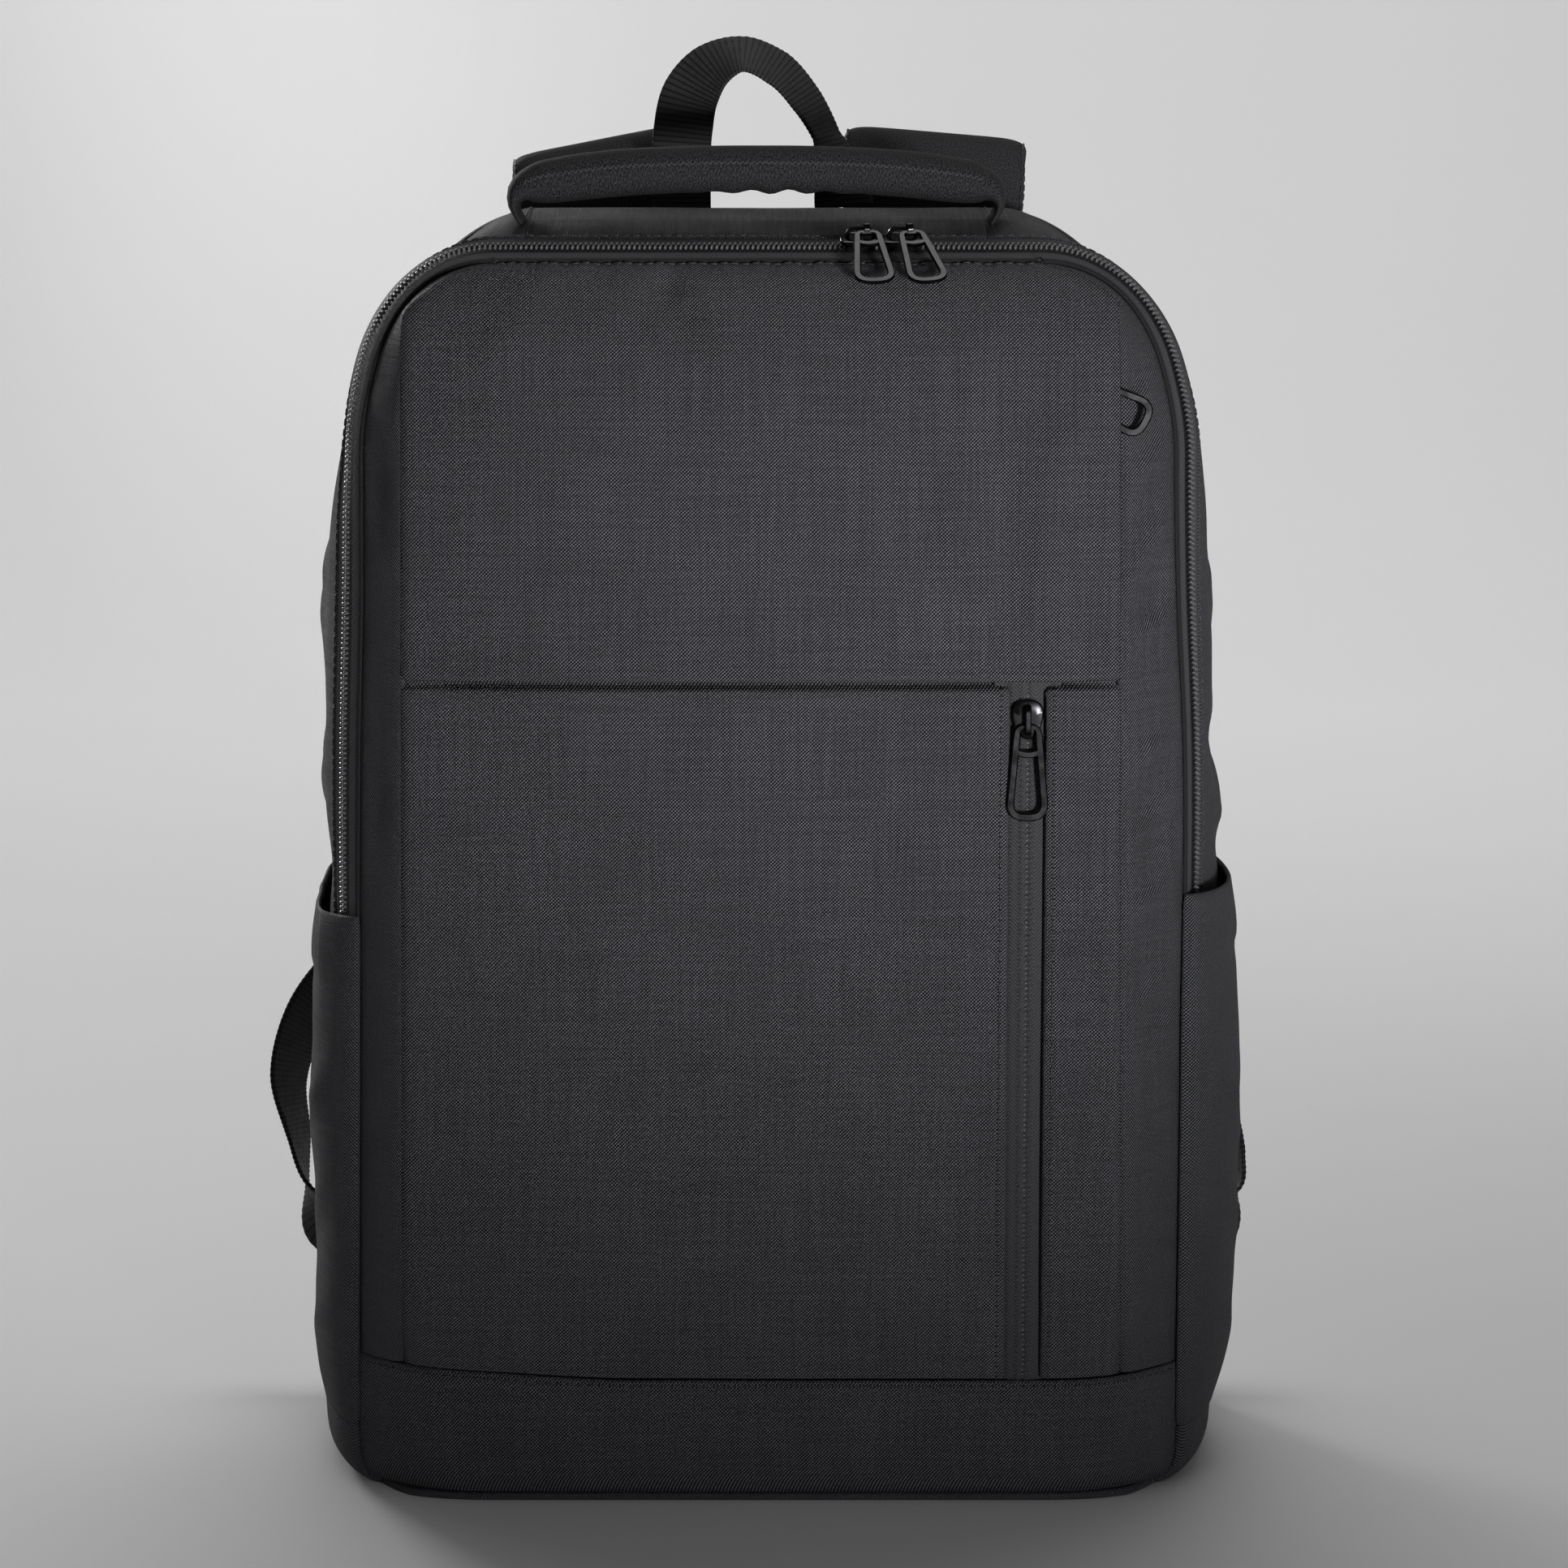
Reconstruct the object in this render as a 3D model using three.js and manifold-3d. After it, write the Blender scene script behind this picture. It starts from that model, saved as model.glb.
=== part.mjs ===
// A laptop backpack standing on its base, in millimetres: +X to the viewer's right, front to -Y, +Z up.
// Each sewn panel is a cloth wall of its own, and the bag is hollow between them.
import * as THREE from 'three';
import { mergeVertices } from 'three/addons/utils/BufferGeometryUtils.js';
import Module from 'manifold-3d';

const wasm = await Module();
wasm.setup();

// Thickness of the walls, and the clear space left between neighbouring pieces
const CLOTH = 2;
const POCKET_CLOTH = 1.6;
const TAPE_CLOTH = 1.3;
const BASE_CLOTH = 2.5;
const GAP = 0.4;

// How far the parts of one solid run into each other where they join
const JOIN = 0.4;

// Where the seams lie from front to back
const LID_SEAM_Y = -52;
const TAPE_FRONT_Y = -51.2;
const COIL_Y = -42.4;
const TAPE_BACK_Y = -33.6;
const GUSSET_FRONT_Y = -33.2;
const GUSSET_BACK_Y = 56.6;
const BACK_FRONT_Y = 57;

// Heights of the cross seams
const BASE_FLANGE_TOP = 20;
const SIDE_LOW = 20.6;
const BAND_LOW = 3.4;
const BAND_TOP = 41;
const TUCK_LOW = 269.6;
const TUCK_HIGH = 271.6;
const ROLL_Z = 345;

// The front face stands ahead of the lid seam, between two upright creases that part towards the floor
const FRONT_DEPTH = 21;
const FRONT_SHIFT = -2;
const CREASE_HALF_TOP = 113.6;
const CREASE_HALF_LOW = 118;
const LEAST_FACET = 3;
const FRONT_CROWN = 2;
const CROWN_RISE = 70;
const ROLL_POWER = 2.8;
const ROLL_LEAN = THREE.MathUtils.degToRad(60);
const LIP_OUT = 2.8;
const LIP_REACH = 9;
const SLIT_DEPTH = 4.4;
const SLIT_LOW = 290;
const SLIT_HIGH = 392;
const SLIT_EASE = 30;

// Arch outlines seen from the front: half width, top, the two half axes of the rounded top corner,
// and the power of its curve, 2 for an ellipse and less for a straighter slope
const LID_OUTLINE = { half: 135.5, top: 405, cornerX: 48, cornerZ: 62, power: 2 };
const TAPE_FRONT_OUTLINE = { half: 137.4, top: 406, cornerX: 49, cornerZ: 63.5, power: 2 };
const TAPE_BACK_OUTLINE = { half: 139.2, top: 411.2, cornerX: 53, cornerZ: 69, power: 2 };
const BACK_OUTLINE = { half: 143, top: 413, cornerX: 63, cornerZ: 100, power: 1.8 };

// The side and top walls, one row for each station from the zip to the back seam
const GUSSET_STATIONS = [
  { y: GUSSET_FRONT_Y, half: 139.6, top: 411.6, cornerX: 54, cornerZ: 70, power: 2 },
  { y: -22, half: 144.6, top: 414, cornerX: 63, cornerZ: 94, power: 1.82 },
  { y: -6, half: 148, top: 415.8, cornerX: 68, cornerZ: 114, power: 1.66 },
  { y: 14, half: 149.4, top: 416.6, cornerX: 70, cornerZ: 121, power: 1.58 },
  { y: 34, half: 148.2, top: 416, cornerX: 69, cornerZ: 120, power: 1.6 },
  { y: 48, half: 145.6, top: 414.6, cornerX: 66, cornerZ: 110, power: 1.7 },
  { y: GUSSET_BACK_Y, half: 142.6, top: 412.4, cornerX: 63, cornerZ: 100, power: 1.8 },
];

// Soft dents of the side walls, or swells where the depth is below zero, and how far they spread
const SIDE_DENTS = [
  { side: -1, z: 92, depth: 7.5, spreadZ: 54, y: 12, spreadY: 50 },
  { side: -1, z: 172, depth: 6.6, spreadZ: 30, y: 10, spreadY: 50 },
  { side: -1, z: 203, depth: 5, spreadZ: 12, y: 10, spreadY: 50 },
  { side: -1, z: 256, depth: 1.8, spreadZ: 14, y: 6, spreadY: 34 },
  { side: -1, z: 322, depth: 2, spreadZ: 22, y: -8, spreadY: 24 },
  { side: 1, z: 92, depth: 7.5, spreadZ: 54, y: 12, spreadY: 50 },
  { side: 1, z: 172, depth: 5.4, spreadZ: 28, y: 10, spreadY: 50 },
  { side: 1, z: 192, depth: 5, spreadZ: 14, y: 10, spreadY: 50 },
  { side: 1, z: 243, depth: 2.6, spreadZ: 13, y: 4, spreadY: 34 },
  { side: 1, z: 221, depth: -2.6, spreadZ: 11, y: 4, spreadY: 34 },
  { side: 1, z: 318, depth: 2, spreadZ: 22, y: -8, spreadY: 24 },
];

// Soft dents of the front, pushed in towards the back
const FRONT_DENTS = [
  { x: -32, z: 394, depth: 3.2, spreadX: 9, spreadZ: 12 },
  { x: -60, z: 398, depth: 1.6, spreadX: 13, spreadZ: 9 },
  { x: 20, z: 392, depth: 1.2, spreadX: 18, spreadZ: 12 },
  { x: 74, z: 320, depth: 1.6, spreadX: 10, spreadZ: 46 },
  { x: -85, z: 305, depth: 0.9, spreadX: 16, spreadZ: 40 },
  { x: -20, z: 150, depth: 1.2, spreadX: 60, spreadZ: 40 },
  { x: 124, z: 300, depth: 2.4, spreadX: 9, spreadZ: 16 },
  { x: 125, z: 225, depth: 2.6, spreadX: 9, spreadZ: 12 },
  { x: 124, z: 166, depth: 2.8, spreadX: 10, spreadZ: 9 },
  { x: -127, z: 335, depth: 2, spreadX: 9, spreadZ: 18 },
  { x: -127, z: 240, depth: 1.6, spreadX: 9, spreadZ: 20 },
];

// The bottom band, one row for each height: how far it stands out, and how far its ends come in
const BAND_ROWS = [
  { z: BAND_LOW, out: -1.6, endIn: 5.6 },
  { z: 7, out: 0.8, endIn: 2.6 },
  { z: 16, out: 2.2, endIn: 0.2 },
  { z: 28, out: 2, endIn: 0 },
  { z: 37, out: 0.8, endIn: 0 },
  { z: BAND_TOP, out: 0.2, endIn: 0 },
];
const BAND_HALF = 136.8;
const BAND_BEND_HALF = 88;
const BAND_END_Y = -49.5;
const BAND_POWER = 2.6;

// The floor of the bag and its turned-up sides, one row for each fold line from the middle outwards
const BASE_ROWS = [
  { x: 0, z: 0 },
  { x: 84, z: 0 },
  { x: 104, z: 0 },
  { x: 118, z: 0 },
  { x: 128, z: 0 },
  { x: 135, z: 0 },
  { x: 142, z: 1.2 },
  { x: 147, z: 4.6 },
  { x: 149.6, z: 10 },
  { x: 150.4, z: BASE_FLANGE_TOP },
];
const BASE_FRONT_Y = -70.8;
const BASE_FLANGE_FRONT_Y = -50.6;
const BASE_FLAT_HALF = 118;
const BASE_FLANGE_HALF = 150.4;

// The side pockets: height of the mouth, how far they stand out at each height, left and right
const POCKET_LOW = 20.8;
const POCKET_FRONT_Y = -54.4;
const POCKET_BACK_Y = 55.6;
const POCKET_EDGE_FRONT = 136.3;
const POCKET_EDGE_BACK = 145.4;
const POCKET_POWER = 0.62;
const POCKET_TURN_COLUMNS = 2;
const POCKET_ROWS = [
  { at: 0, left: 150.4, right: 151.6 },
  { at: 0.06, left: 152.6, right: 155.2 },
  { at: 0.2, left: 153.4, right: 157.6 },
  { at: 0.36, left: 152.4, right: 158.4 },
  { at: 0.52, left: 154, right: 159.2 },
  { at: 0.68, left: 153.2, right: 158.6 },
  { at: 0.84, left: 152.8, right: 157 },
  { at: 0.93, left: 152.4, right: 156.6 },
  { at: 1, left: 150.8, right: 155.6 },
];
const POCKET_MOUTH_FRONT = { left: 191.5, right: 196.5 };
const POCKET_MOUTH_BACK = { left: 194.5, right: 195.5 };
const POCKET_MOUTH_SAG = { left: 4.5, right: 1.5 };

// The padded back: its edge, how far the middle swells out, and its foot
const BACK_RIM = 8;
const BACK_SWELL = 3.6;
const BACK_LOW = 2.8;
const BACK_LOW_ROUND = 24;

// Feet of the carry handle, and the seams there between the top strip and the side walls
const FOOT_LEFT = -78;
const FOOT_RIGHT = 71;
const HANDLE_Y = -14;
const HANDLE_FOOT_LEAN = 0.135;

// The carry handle from its middle to one foot: how far along, height, and the size of its section
const HANDLE_ROWS = [
  { along: 0, z: 432.4, tall: 15, deep: 20 },
  { along: 0.36, z: 432, tall: 15, deep: 20 },
  { along: 0.66, z: 430.6, tall: 15, deep: 20 },
  { along: 0.86, z: 428.8, tall: 14.4, deep: 20 },
  { along: 0.96, z: 427.6, tall: 13, deep: 20 },
  { along: 1.035, z: 425.2, tall: 8.4, deep: 20 },
  { along: 1.058, z: 421.8, tall: 4.6, deep: 20 },
  { along: 1.045, z: 418, tall: 3, deep: 20 },
  { along: 1.02, z: 415.2, tall: 2.6, deep: 20 },
];

// The hang loop from its left foot over to its right: middle of the webbing, and the way its width points
const LOOP_WIDTH = 20;
const LOOP_THICK = 1.7;
const LOOP_ROWS = [
  { x: -29.4, y: 61, z: 413.9, acrossX: 1, acrossY: 0, acrossZ: 0 },
  { x: -29.4, y: 62, z: 425, acrossX: 1, acrossY: 0, acrossZ: 0 },
  { x: -28.8, y: 63.6, z: 440, acrossX: 1, acrossY: 0.05, acrossZ: 0 },
  { x: -26.2, y: 65, z: 452, acrossX: 0.9, acrossY: -0.3, acrossZ: -0.35 },
  { x: -19.6, y: 66, z: 461, acrossX: 0.5, acrossY: -0.65, acrossZ: -0.6 },
  { x: -9, y: 66.4, z: 465.4, acrossX: 0, acrossY: -0.85, acrossZ: -0.52 },
  { x: 3, y: 66, z: 460.8, acrossX: -0.3, acrossY: -0.85, acrossZ: -0.45 },
  { x: 13, y: 65, z: 450, acrossX: -0.4, acrossY: -0.9, acrossZ: -0.3 },
  { x: 19.8, y: 63.6, z: 438, acrossX: -0.45, acrossY: -0.9, acrossZ: 0 },
  { x: 24.6, y: 61.6, z: 424.5, acrossX: -0.85, acrossY: -0.5, acrossZ: 0 },
  { x: 25.8, y: 61, z: 414.2, acrossX: -1, acrossY: 0, acrossZ: 0 },
];

// The shoulder straps from the top of the back to the adjuster: distance from the middle, and section
const STRAP_ROWS = [
  { x: 56, y: 73.6, z: 366, wide: 58, thick: 7 },
  { x: 56, y: 74.3, z: 385, wide: 62, thick: 8.6 },
  { x: 56, y: 74, z: 404, wide: 62, thick: 9 },
  { x: 56.2, y: 76.4, z: 421, wide: 62, thick: 9 },
  { x: 56.6, y: 84.4, z: 432.4, wide: 62, thick: 9 },
  { x: 57.4, y: 95.4, z: 432, wide: 62, thick: 9 },
  { x: 58.4, y: 103.6, z: 421, wide: 62, thick: 9 },
  { x: 60, y: 108, z: 400, wide: 62, thick: 9 },
  { x: 64, y: 110.5, z: 362, wide: 62, thick: 9.4 },
  { x: 71, y: 110, z: 316, wide: 62, thick: 9.4 },
  { x: 82, y: 106.5, z: 268, wide: 60, thick: 9 },
  { x: 95, y: 102, z: 226, wide: 52, thick: 8 },
  { x: 103, y: 99.4, z: 203, wide: 40, thick: 5.4 },
  { x: 106.4, y: 98.4, z: 193, wide: 30, thick: 3.4 },
];
const STRAP_TILT = { left: -0.2, right: -0.08 };
const STRAP_LOWER = { left: 2.4, right: 0 };

// The adjuster at the end of each pad
const LOCK = { wide: 33, long: 22, thick: 4.4, slotWide: 26, slotLong: 4, bar: 5.2 };
const LOCK_TAIL = 7;

// The strap webbing below the adjuster, down to the bottom corner, left and right
const WEBBING_WIDTH = 25;
const WEBBING_THICK = 1.7;
const WEBBING_ROWS = {
  left: [
    { x: 127, y: 94, z: 158, acrossX: -0.8, acrossY: 0.25, acrossZ: -0.6 },
    { x: 148, y: 88.5, z: 144, acrossX: -0.6, acrossY: 0.55, acrossZ: -0.7 },
    { x: 163, y: 82, z: 127, acrossX: -0.5, acrossY: 0.75, acrossZ: -0.5 },
    { x: 169, y: 76.5, z: 108, acrossX: -0.4, acrossY: 0.85, acrossZ: -0.2 },
    { x: 165.6, y: 72, z: 88, acrossX: -0.2, acrossY: 0.95, acrossZ: -0.1 },
    { x: 160.4, y: 67.6, z: 71, acrossX: 0, acrossY: 0.85, acrossZ: -0.45 },
    { x: 155.8, y: 64.6, z: 58.4, acrossX: 0.3, acrossY: 0.3, acrossZ: -0.9 },
    { x: 151.9, y: 63, z: 56, acrossX: 0.415, acrossY: 0, acrossZ: -0.91 },
  ],
  right: [
    { x: 124, y: 94.6, z: 160, acrossX: -0.8, acrossY: 0.25, acrossZ: -0.55 },
    { x: 141, y: 90, z: 139, acrossX: -0.65, acrossY: 0.5, acrossZ: -0.55 },
    { x: 154.6, y: 84.4, z: 114, acrossX: -0.5, acrossY: 0.75, acrossZ: -0.4 },
    { x: 161.4, y: 78, z: 93, acrossX: -0.45, acrossY: 0.85, acrossZ: -0.2 },
    { x: 163.4, y: 71.6, z: 77, acrossX: -0.3, acrossY: 0.9, acrossZ: -0.2 },
    { x: 160.4, y: 67.4, z: 67, acrossX: 0, acrossY: 0.8, acrossZ: -0.5 },
    { x: 155.8, y: 64.6, z: 58.4, acrossX: 0.3, acrossY: 0.3, acrossZ: -0.9 },
    { x: 151.9, y: 63, z: 56, acrossX: 0.415, acrossY: 0, acrossZ: -0.91 },
  ],
};

// The cloth tabs that hold the webbing to the back seam: corners seen from the front, and where they lie
const TAB_CORNERS = [
  { x: 143.5, z: 20 },
  { x: 143.5, z: 58 },
  { x: 145.2, z: 66.6 },
  { x: 155.6, z: 43.8 },
];
const TAB_Y = 61.3;
const TAB_THICK = 3.4;

// Zips: the coil's height and half width, and the sliders' sizes
const COIL_HALF = 2.9;
const COIL_TALL = 2.3;
const COIL_CLEAR = 0.35;
const COIL_LOW = 184;
const SLIDER = { long: 13, wide: 9.6, plate: 1.6, flange: 1.3 };
const PULL_BAR = { legX: 3.9, legWide: 1.3, rise: 3.1, round: 0.95 };
const MAIN_SLIDERS = [
  { name: 'left', x: 29.6, lean: 5 },
  { name: 'right', x: 45, lean: 12 },
];
const MAIN_PULL_DROP = 30;

// The upright front zip
const FRONT_ZIP_X = 83.4;
const FRONT_ZIP_WINDOW = 13;
const FRONT_TAPE_WIDE = 21;
const FRONT_TAPE_Y = -70.5;
const FRONT_COIL_HALF = 3;
const FRONT_COIL_TALL = 1.5;
const FRONT_COIL_TOP = 267.6;
const FRONT_SLIDER_Z = 261;
const ARCH = { half: 4.7, leg: 1.4, wide: 2, clear: 2.4, crown: 1.4 };
const FRONT_PULL_DROP = 2;
const FRONT_PULL_RISE = 1.2;

// The pull tab: an open frame, wider at its foot, with a small window above a large one
const PULL = { long: 31.5, eyeLong: 28.8, topWide: 8.8, footWide: 14.3, thick: 1.4 };
const PULL_FRAME = { rail: 2.1, slimRail: 1.6, bar: 1.6, smallWindow: 7 };
const PULL_ROUND = { top: 1.6, foot: 4.6, smallWindow: 0.9, windowTop: 1.4, windowFoot: 3 };
const EYE = { outer: 2.7, inner: 1.6, wide: 2.4, drop: 2 };

// The pull under the right crease, and its hidden slider
const SIDE_PULL = { tipX: 121.6, y: -69.9, z: 358, turn: 4 };
const SIDE_SLIDER = { long: 8, deep: 5, tall: 10 };

// How finely the pieces are divided, up and down and then across
const ROWS = {
  frontLow: 9, frontHigh: 5, roll: 8, facet: 14, back: 14,
  side: 14, sideCorner: 7, sideTop: 1, zip: 3, zipCorner: 8, zipTop: 2,
  loop: 30, strap: 26, webbing: 24,
};
const COLUMNS = {
  faceUpper: 14, faceLower: 10, zipStrip: 2, facet: 3, band: 18, base: 5, top: 6, back: 12, pocket: 10,
};

const { lerp, degToRad, smoothstep, clamp } = THREE.MathUtils;
const vector = (x, y, z) => new THREE.Vector3(x, y, z);

// Materials

function material(color, roughness, metalness) {
  return new THREE.MeshStandardMaterial({ color, roughness, metalness });
}

const LOOKS = {
  cloth: () => material('#333336', 0.9, 0),
  darkCloth: () => material('#28282b', 0.92, 0),
  base: () => material('#2c2c2f', 0.9, 0),
  padded: () => material('#26262a', 0.92, 0),
  webbing: () => material('#202023', 0.85, 0),
  tape: () => material('#242427', 0.9, 0),
  coil: () => material('#3a3a3e', 0.5, 0),
  metal: () => material('#1c1c1e', 0.35, 0.85),
  plastic: () => material('#1a1a1c', 0.5, 0),
};

// Closed bodies from rows of points

function signedVolume(points, faces) {
  let total = 0;
  for (const [a, b, c] of faces) {
    total += points[a].dot(vector().crossVectors(points[b], points[c]));
  }
  return total / 6;
}

function closedGeometry(points, faces) {
  const turned = signedVolume(points, faces) < 0;
  const order = turned ? faces.map(([a, b, c]) => [a, c, b]) : faces;
  const geometry = new THREE.BufferGeometry();
  geometry.setFromPoints(points);
  geometry.setIndex(order.flat());
  geometry.computeVertexNormals();
  return geometry;
}

function quad(faces, a, b, c, d) {
  faces.push([a, b, c], [a, c, d]);
}

// A cloth wall: a grid of points on its outer side, and the same grid moved in by the thickness
function wall(outer, inward, thickness) {
  const rows = outer.length;
  const columns = outer[0].length;
  const points = outer.flat();
  const count = points.length;
  outer.forEach((row, i) => row.forEach((point, j) => {
    points.push(point.clone().addScaledVector(inward(i, j, outer), thickness));
  }));
  const at = (i, j) => i * columns + j;
  const faces = [];
  for (let i = 0; i + 1 < rows; i++) {
    for (let j = 0; j + 1 < columns; j++) {
      const [a, b, c, d] = [at(i, j), at(i, j + 1), at(i + 1, j + 1), at(i + 1, j)];
      quad(faces, a, b, c, d);
      quad(faces, a + count, d + count, c + count, b + count);
    }
  }
  const rim = [];
  for (let j = 0; j + 1 < columns; j++) rim.push(at(0, j));
  for (let i = 0; i + 1 < rows; i++) rim.push(at(i, columns - 1));
  for (let j = columns - 1; j > 0; j--) rim.push(at(rows - 1, j));
  for (let i = rows - 1; i > 0; i--) rim.push(at(i, 0));
  rim.forEach((here, k) => {
    const next = rim[(k + 1) % rim.length];
    quad(faces, here, here + count, next + count, next);
  });
  return closedGeometry(points, faces);
}

// A solid through closed rings of points, capped at both ends
function loft(rings) {
  const size = rings[0].length;
  const points = rings.flat();
  const faces = [];
  for (let i = 0; i + 1 < rings.length; i++) {
    for (let j = 0; j < size; j++) {
      const next = (j + 1) % size;
      quad(faces, i * size + j, i * size + next, (i + 1) * size + next, (i + 1) * size + j);
    }
  }
  const last = (rings.length - 1) * size;
  for (let j = 1; j + 1 < size; j++) {
    faces.push([0, j + 1, j]);
    faces.push([last, last + j, last + j + 1]);
  }
  return closedGeometry(points, faces);
}

function mesh(name, geometry, look) {
  const made = new THREE.Mesh(geometry, LOOKS[look]());
  made.name = name;
  return made;
}

// Solids to join and cut

function solid(geometry) {
  const bare = geometry.clone();
  bare.deleteAttribute('normal');
  bare.deleteAttribute('uv');
  const merged = mergeVertices(bare, 1e-4);
  const numbers = new wasm.Mesh({
    numProp: 3,
    vertProperties: new Float32Array(merged.attributes.position.array),
    triVerts: new Uint32Array(merged.index.array),
  });
  return new wasm.Manifold(numbers);
}

function geometryOf(made) {
  const numbers = made.getMesh();
  const geometry = new THREE.BufferGeometry();
  geometry.setAttribute('position', new THREE.BufferAttribute(numbers.vertProperties, 3));
  geometry.setIndex(new THREE.BufferAttribute(numbers.triVerts, 1));
  geometry.computeVertexNormals();
  return geometry;
}

function box(fromX, toX, fromY, toY, fromZ, toZ) {
  const geometry = new THREE.BoxGeometry(toX - fromX, toY - fromY, toZ - fromZ);
  geometry.translate((fromX + toX) / 2, (fromY + toY) / 2, (fromZ + toZ) / 2);
  return geometry;
}

// A round bar along X
function barAlongX(radius, length, sides) {
  const geometry = new THREE.CylinderGeometry(radius, radius, length, sides);
  geometry.rotateZ(Math.PI / 2);
  return geometry;
}

// Outlines

// Half width of an arch outline at a height
function halfWidthAt(outline, z) {
  const rise = clamp((z - outline.top + outline.cornerZ) / outline.cornerZ, 0, 1);
  return outline.half - outline.cornerX * (1 - (1 - rise ** outline.power) ** (1 / outline.power));
}

function mixOutlines(a, b, at) {
  const mixed = {};
  for (const key of ['half', 'top', 'cornerX', 'cornerZ', 'power']) {
    mixed[key] = lerp(a[key], b[key], at);
  }
  return mixed;
}

// Places on one half of an arch: up the side, round the corner, along the top to endX
function archPlaces(sideRows, cornerRows, topRows) {
  const places = [];
  for (let k = 0; k < sideRows; k++) places.push({ part: 'side', at: k / sideRows });
  for (let k = 0; k < cornerRows; k++) places.push({ part: 'corner', at: k / cornerRows });
  for (let k = 0; k <= topRows; k++) places.push({ part: 'top', at: k / topRows });
  return places;
}

function archPoint(side, outline, place, lowZ, endX, y) {
  const inner = outline.half - outline.cornerX;
  const shoulder = outline.top - outline.cornerZ;
  if (place.part === 'side') {
    return vector(side * outline.half, y, lerp(lowZ, shoulder, place.at));
  }
  if (place.part === 'corner') {
    const angle = place.at * Math.PI / 2;
    const x = inner + outline.cornerX * Math.cos(angle) ** (2 / outline.power);
    return vector(side * x, y, shoulder + outline.cornerZ * Math.sin(angle) ** (2 / outline.power));
  }
  return vector(lerp(side * inner, endX, place.at), y, outline.top);
}

// The way into the bag, seen from the front, at a point of a grid whose rows run up the side and over the top
function archInward(side) {
  return (i, j, grid) => {
    const before = grid[Math.max(i - 1, 0)][j];
    const after = grid[Math.min(i + 1, grid.length - 1)][j];
    const along = after.clone().sub(before);
    return vector(side * -along.z, 0, side * along.x).normalize();
  };
}

// The front lid

function creaseX(side, z) {
  const half = lerp(CREASE_HALF_LOW, CREASE_HALF_TOP, clamp(z / LID_OUTLINE.top, 0, 1));
  const reach = halfWidthAt(LID_OUTLINE, z) - LEAST_FACET;
  return clamp(FRONT_SHIFT + side * half, -reach, reach);
}

function frontDent(x, z) {
  let total = 0;
  for (const dent of FRONT_DENTS) {
    const acrossX = (x - dent.x) / dent.spreadX;
    const acrossZ = (z - dent.z) / dent.spreadZ;
    total += dent.depth * Math.exp(-acrossX * acrossX - acrossZ * acrossZ);
  }
  return total;
}

// Rows up the lid: straight up from a height, then rolling back to the seam
function lidRows(lowZ, highZ, straightRows, rollRows) {
  const rows = [];
  for (let k = 0; k <= straightRows; k++) {
    rows.push({ z: lerp(lowZ, highZ, k / straightRows), depth: FRONT_DEPTH, lean: 0 });
  }
  for (let k = 1; k <= rollRows; k++) {
    const angle = (k / rollRows) * Math.PI / 2;
    const up = Math.sin(angle) ** (2 / ROLL_POWER);
    const out = Math.max(Math.cos(angle), 0) ** (2 / ROLL_POWER);
    rows.push({
      z: lerp(ROLL_Z, LID_OUTLINE.top, up),
      depth: FRONT_DEPTH * out,
      lean: ROLL_LEAN * k / rollRows,
    });
  }
  return rows;
}

function facePoint(x, row) {
  const side = Math.sign(x - FRONT_SHIFT) || 1;
  const across = (x - FRONT_SHIFT) / (creaseX(side, row.z) - FRONT_SHIFT);
  const swell = smoothstep(row.z, BAND_TOP, BAND_TOP + CROWN_RISE) * (row.depth / FRONT_DEPTH) ** 2;
  const crown = FRONT_CROWN * (1 - across * across) * swell;
  const dent = frontDent(x, row.z) * Math.min(1, row.depth / (FRONT_DEPTH / 2));
  return vector(x, LID_SEAM_Y - row.depth - crown + dent, row.z);
}

function lidInward(rows) {
  return (i) => vector(0, Math.cos(rows[i].lean), -Math.sin(rows[i].lean));
}

// A part of the front face between two upright edges, each given by its place at a height
function faceWall(rows, leftEdge, rightEdge, columns, lipAt) {
  const grid = rows.map((row) => {
    const line = [];
    for (let k = 0; k <= columns; k++) {
      const x = lerp(leftEdge(row.z), rightEdge(row.z), k / columns);
      const point = facePoint(x, row);
      point.y -= lipAt(row.z);
      line.push(point);
    }
    return line;
  });
  return wall(grid, lidInward(rows), CLOTH);
}

function facetWall(side, rows, columns) {
  const grid = rows.map((row) => {
    const crease = creaseX(side, row.z) + side * GAP / 2;
    const seam = side * halfWidthAt(LID_OUTLINE, row.z);
    const opens = smoothstep(row.z, SLIT_LOW, SLIT_LOW + SLIT_EASE);
    const shuts = smoothstep(row.z, SLIT_HIGH - SLIT_EASE, SLIT_HIGH);
    const slit = side > 0 ? SLIT_DEPTH * opens * (1 - shuts) : 0;
    const line = [];
    for (let k = 0; k <= columns; k++) {
      const at = k / columns;
      const x = lerp(crease, seam, at);
      const dent = frontDent(x, row.z) * Math.sin(Math.PI * at) * row.depth / FRONT_DEPTH;
      line.push(vector(x, LID_SEAM_Y - row.depth * (1 - at) + slit * (1 - at) + dent, row.z));
    }
    return line;
  });
  return wall(grid, lidInward(rows), CLOTH);
}

// The bottom band and the floor

// Half width of the side walls at a depth
function gussetHalf(y) {
  const found = GUSSET_STATIONS.findIndex((station) => station.y >= y);
  const next = clamp(found, 1, GUSSET_STATIONS.length - 1);
  const [a, b] = [GUSSET_STATIONS[next - 1], GUSSET_STATIONS[next]];
  return lerp(a.half, b.half, clamp((y - a.y) / (b.y - a.y), 0, 1));
}

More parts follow.
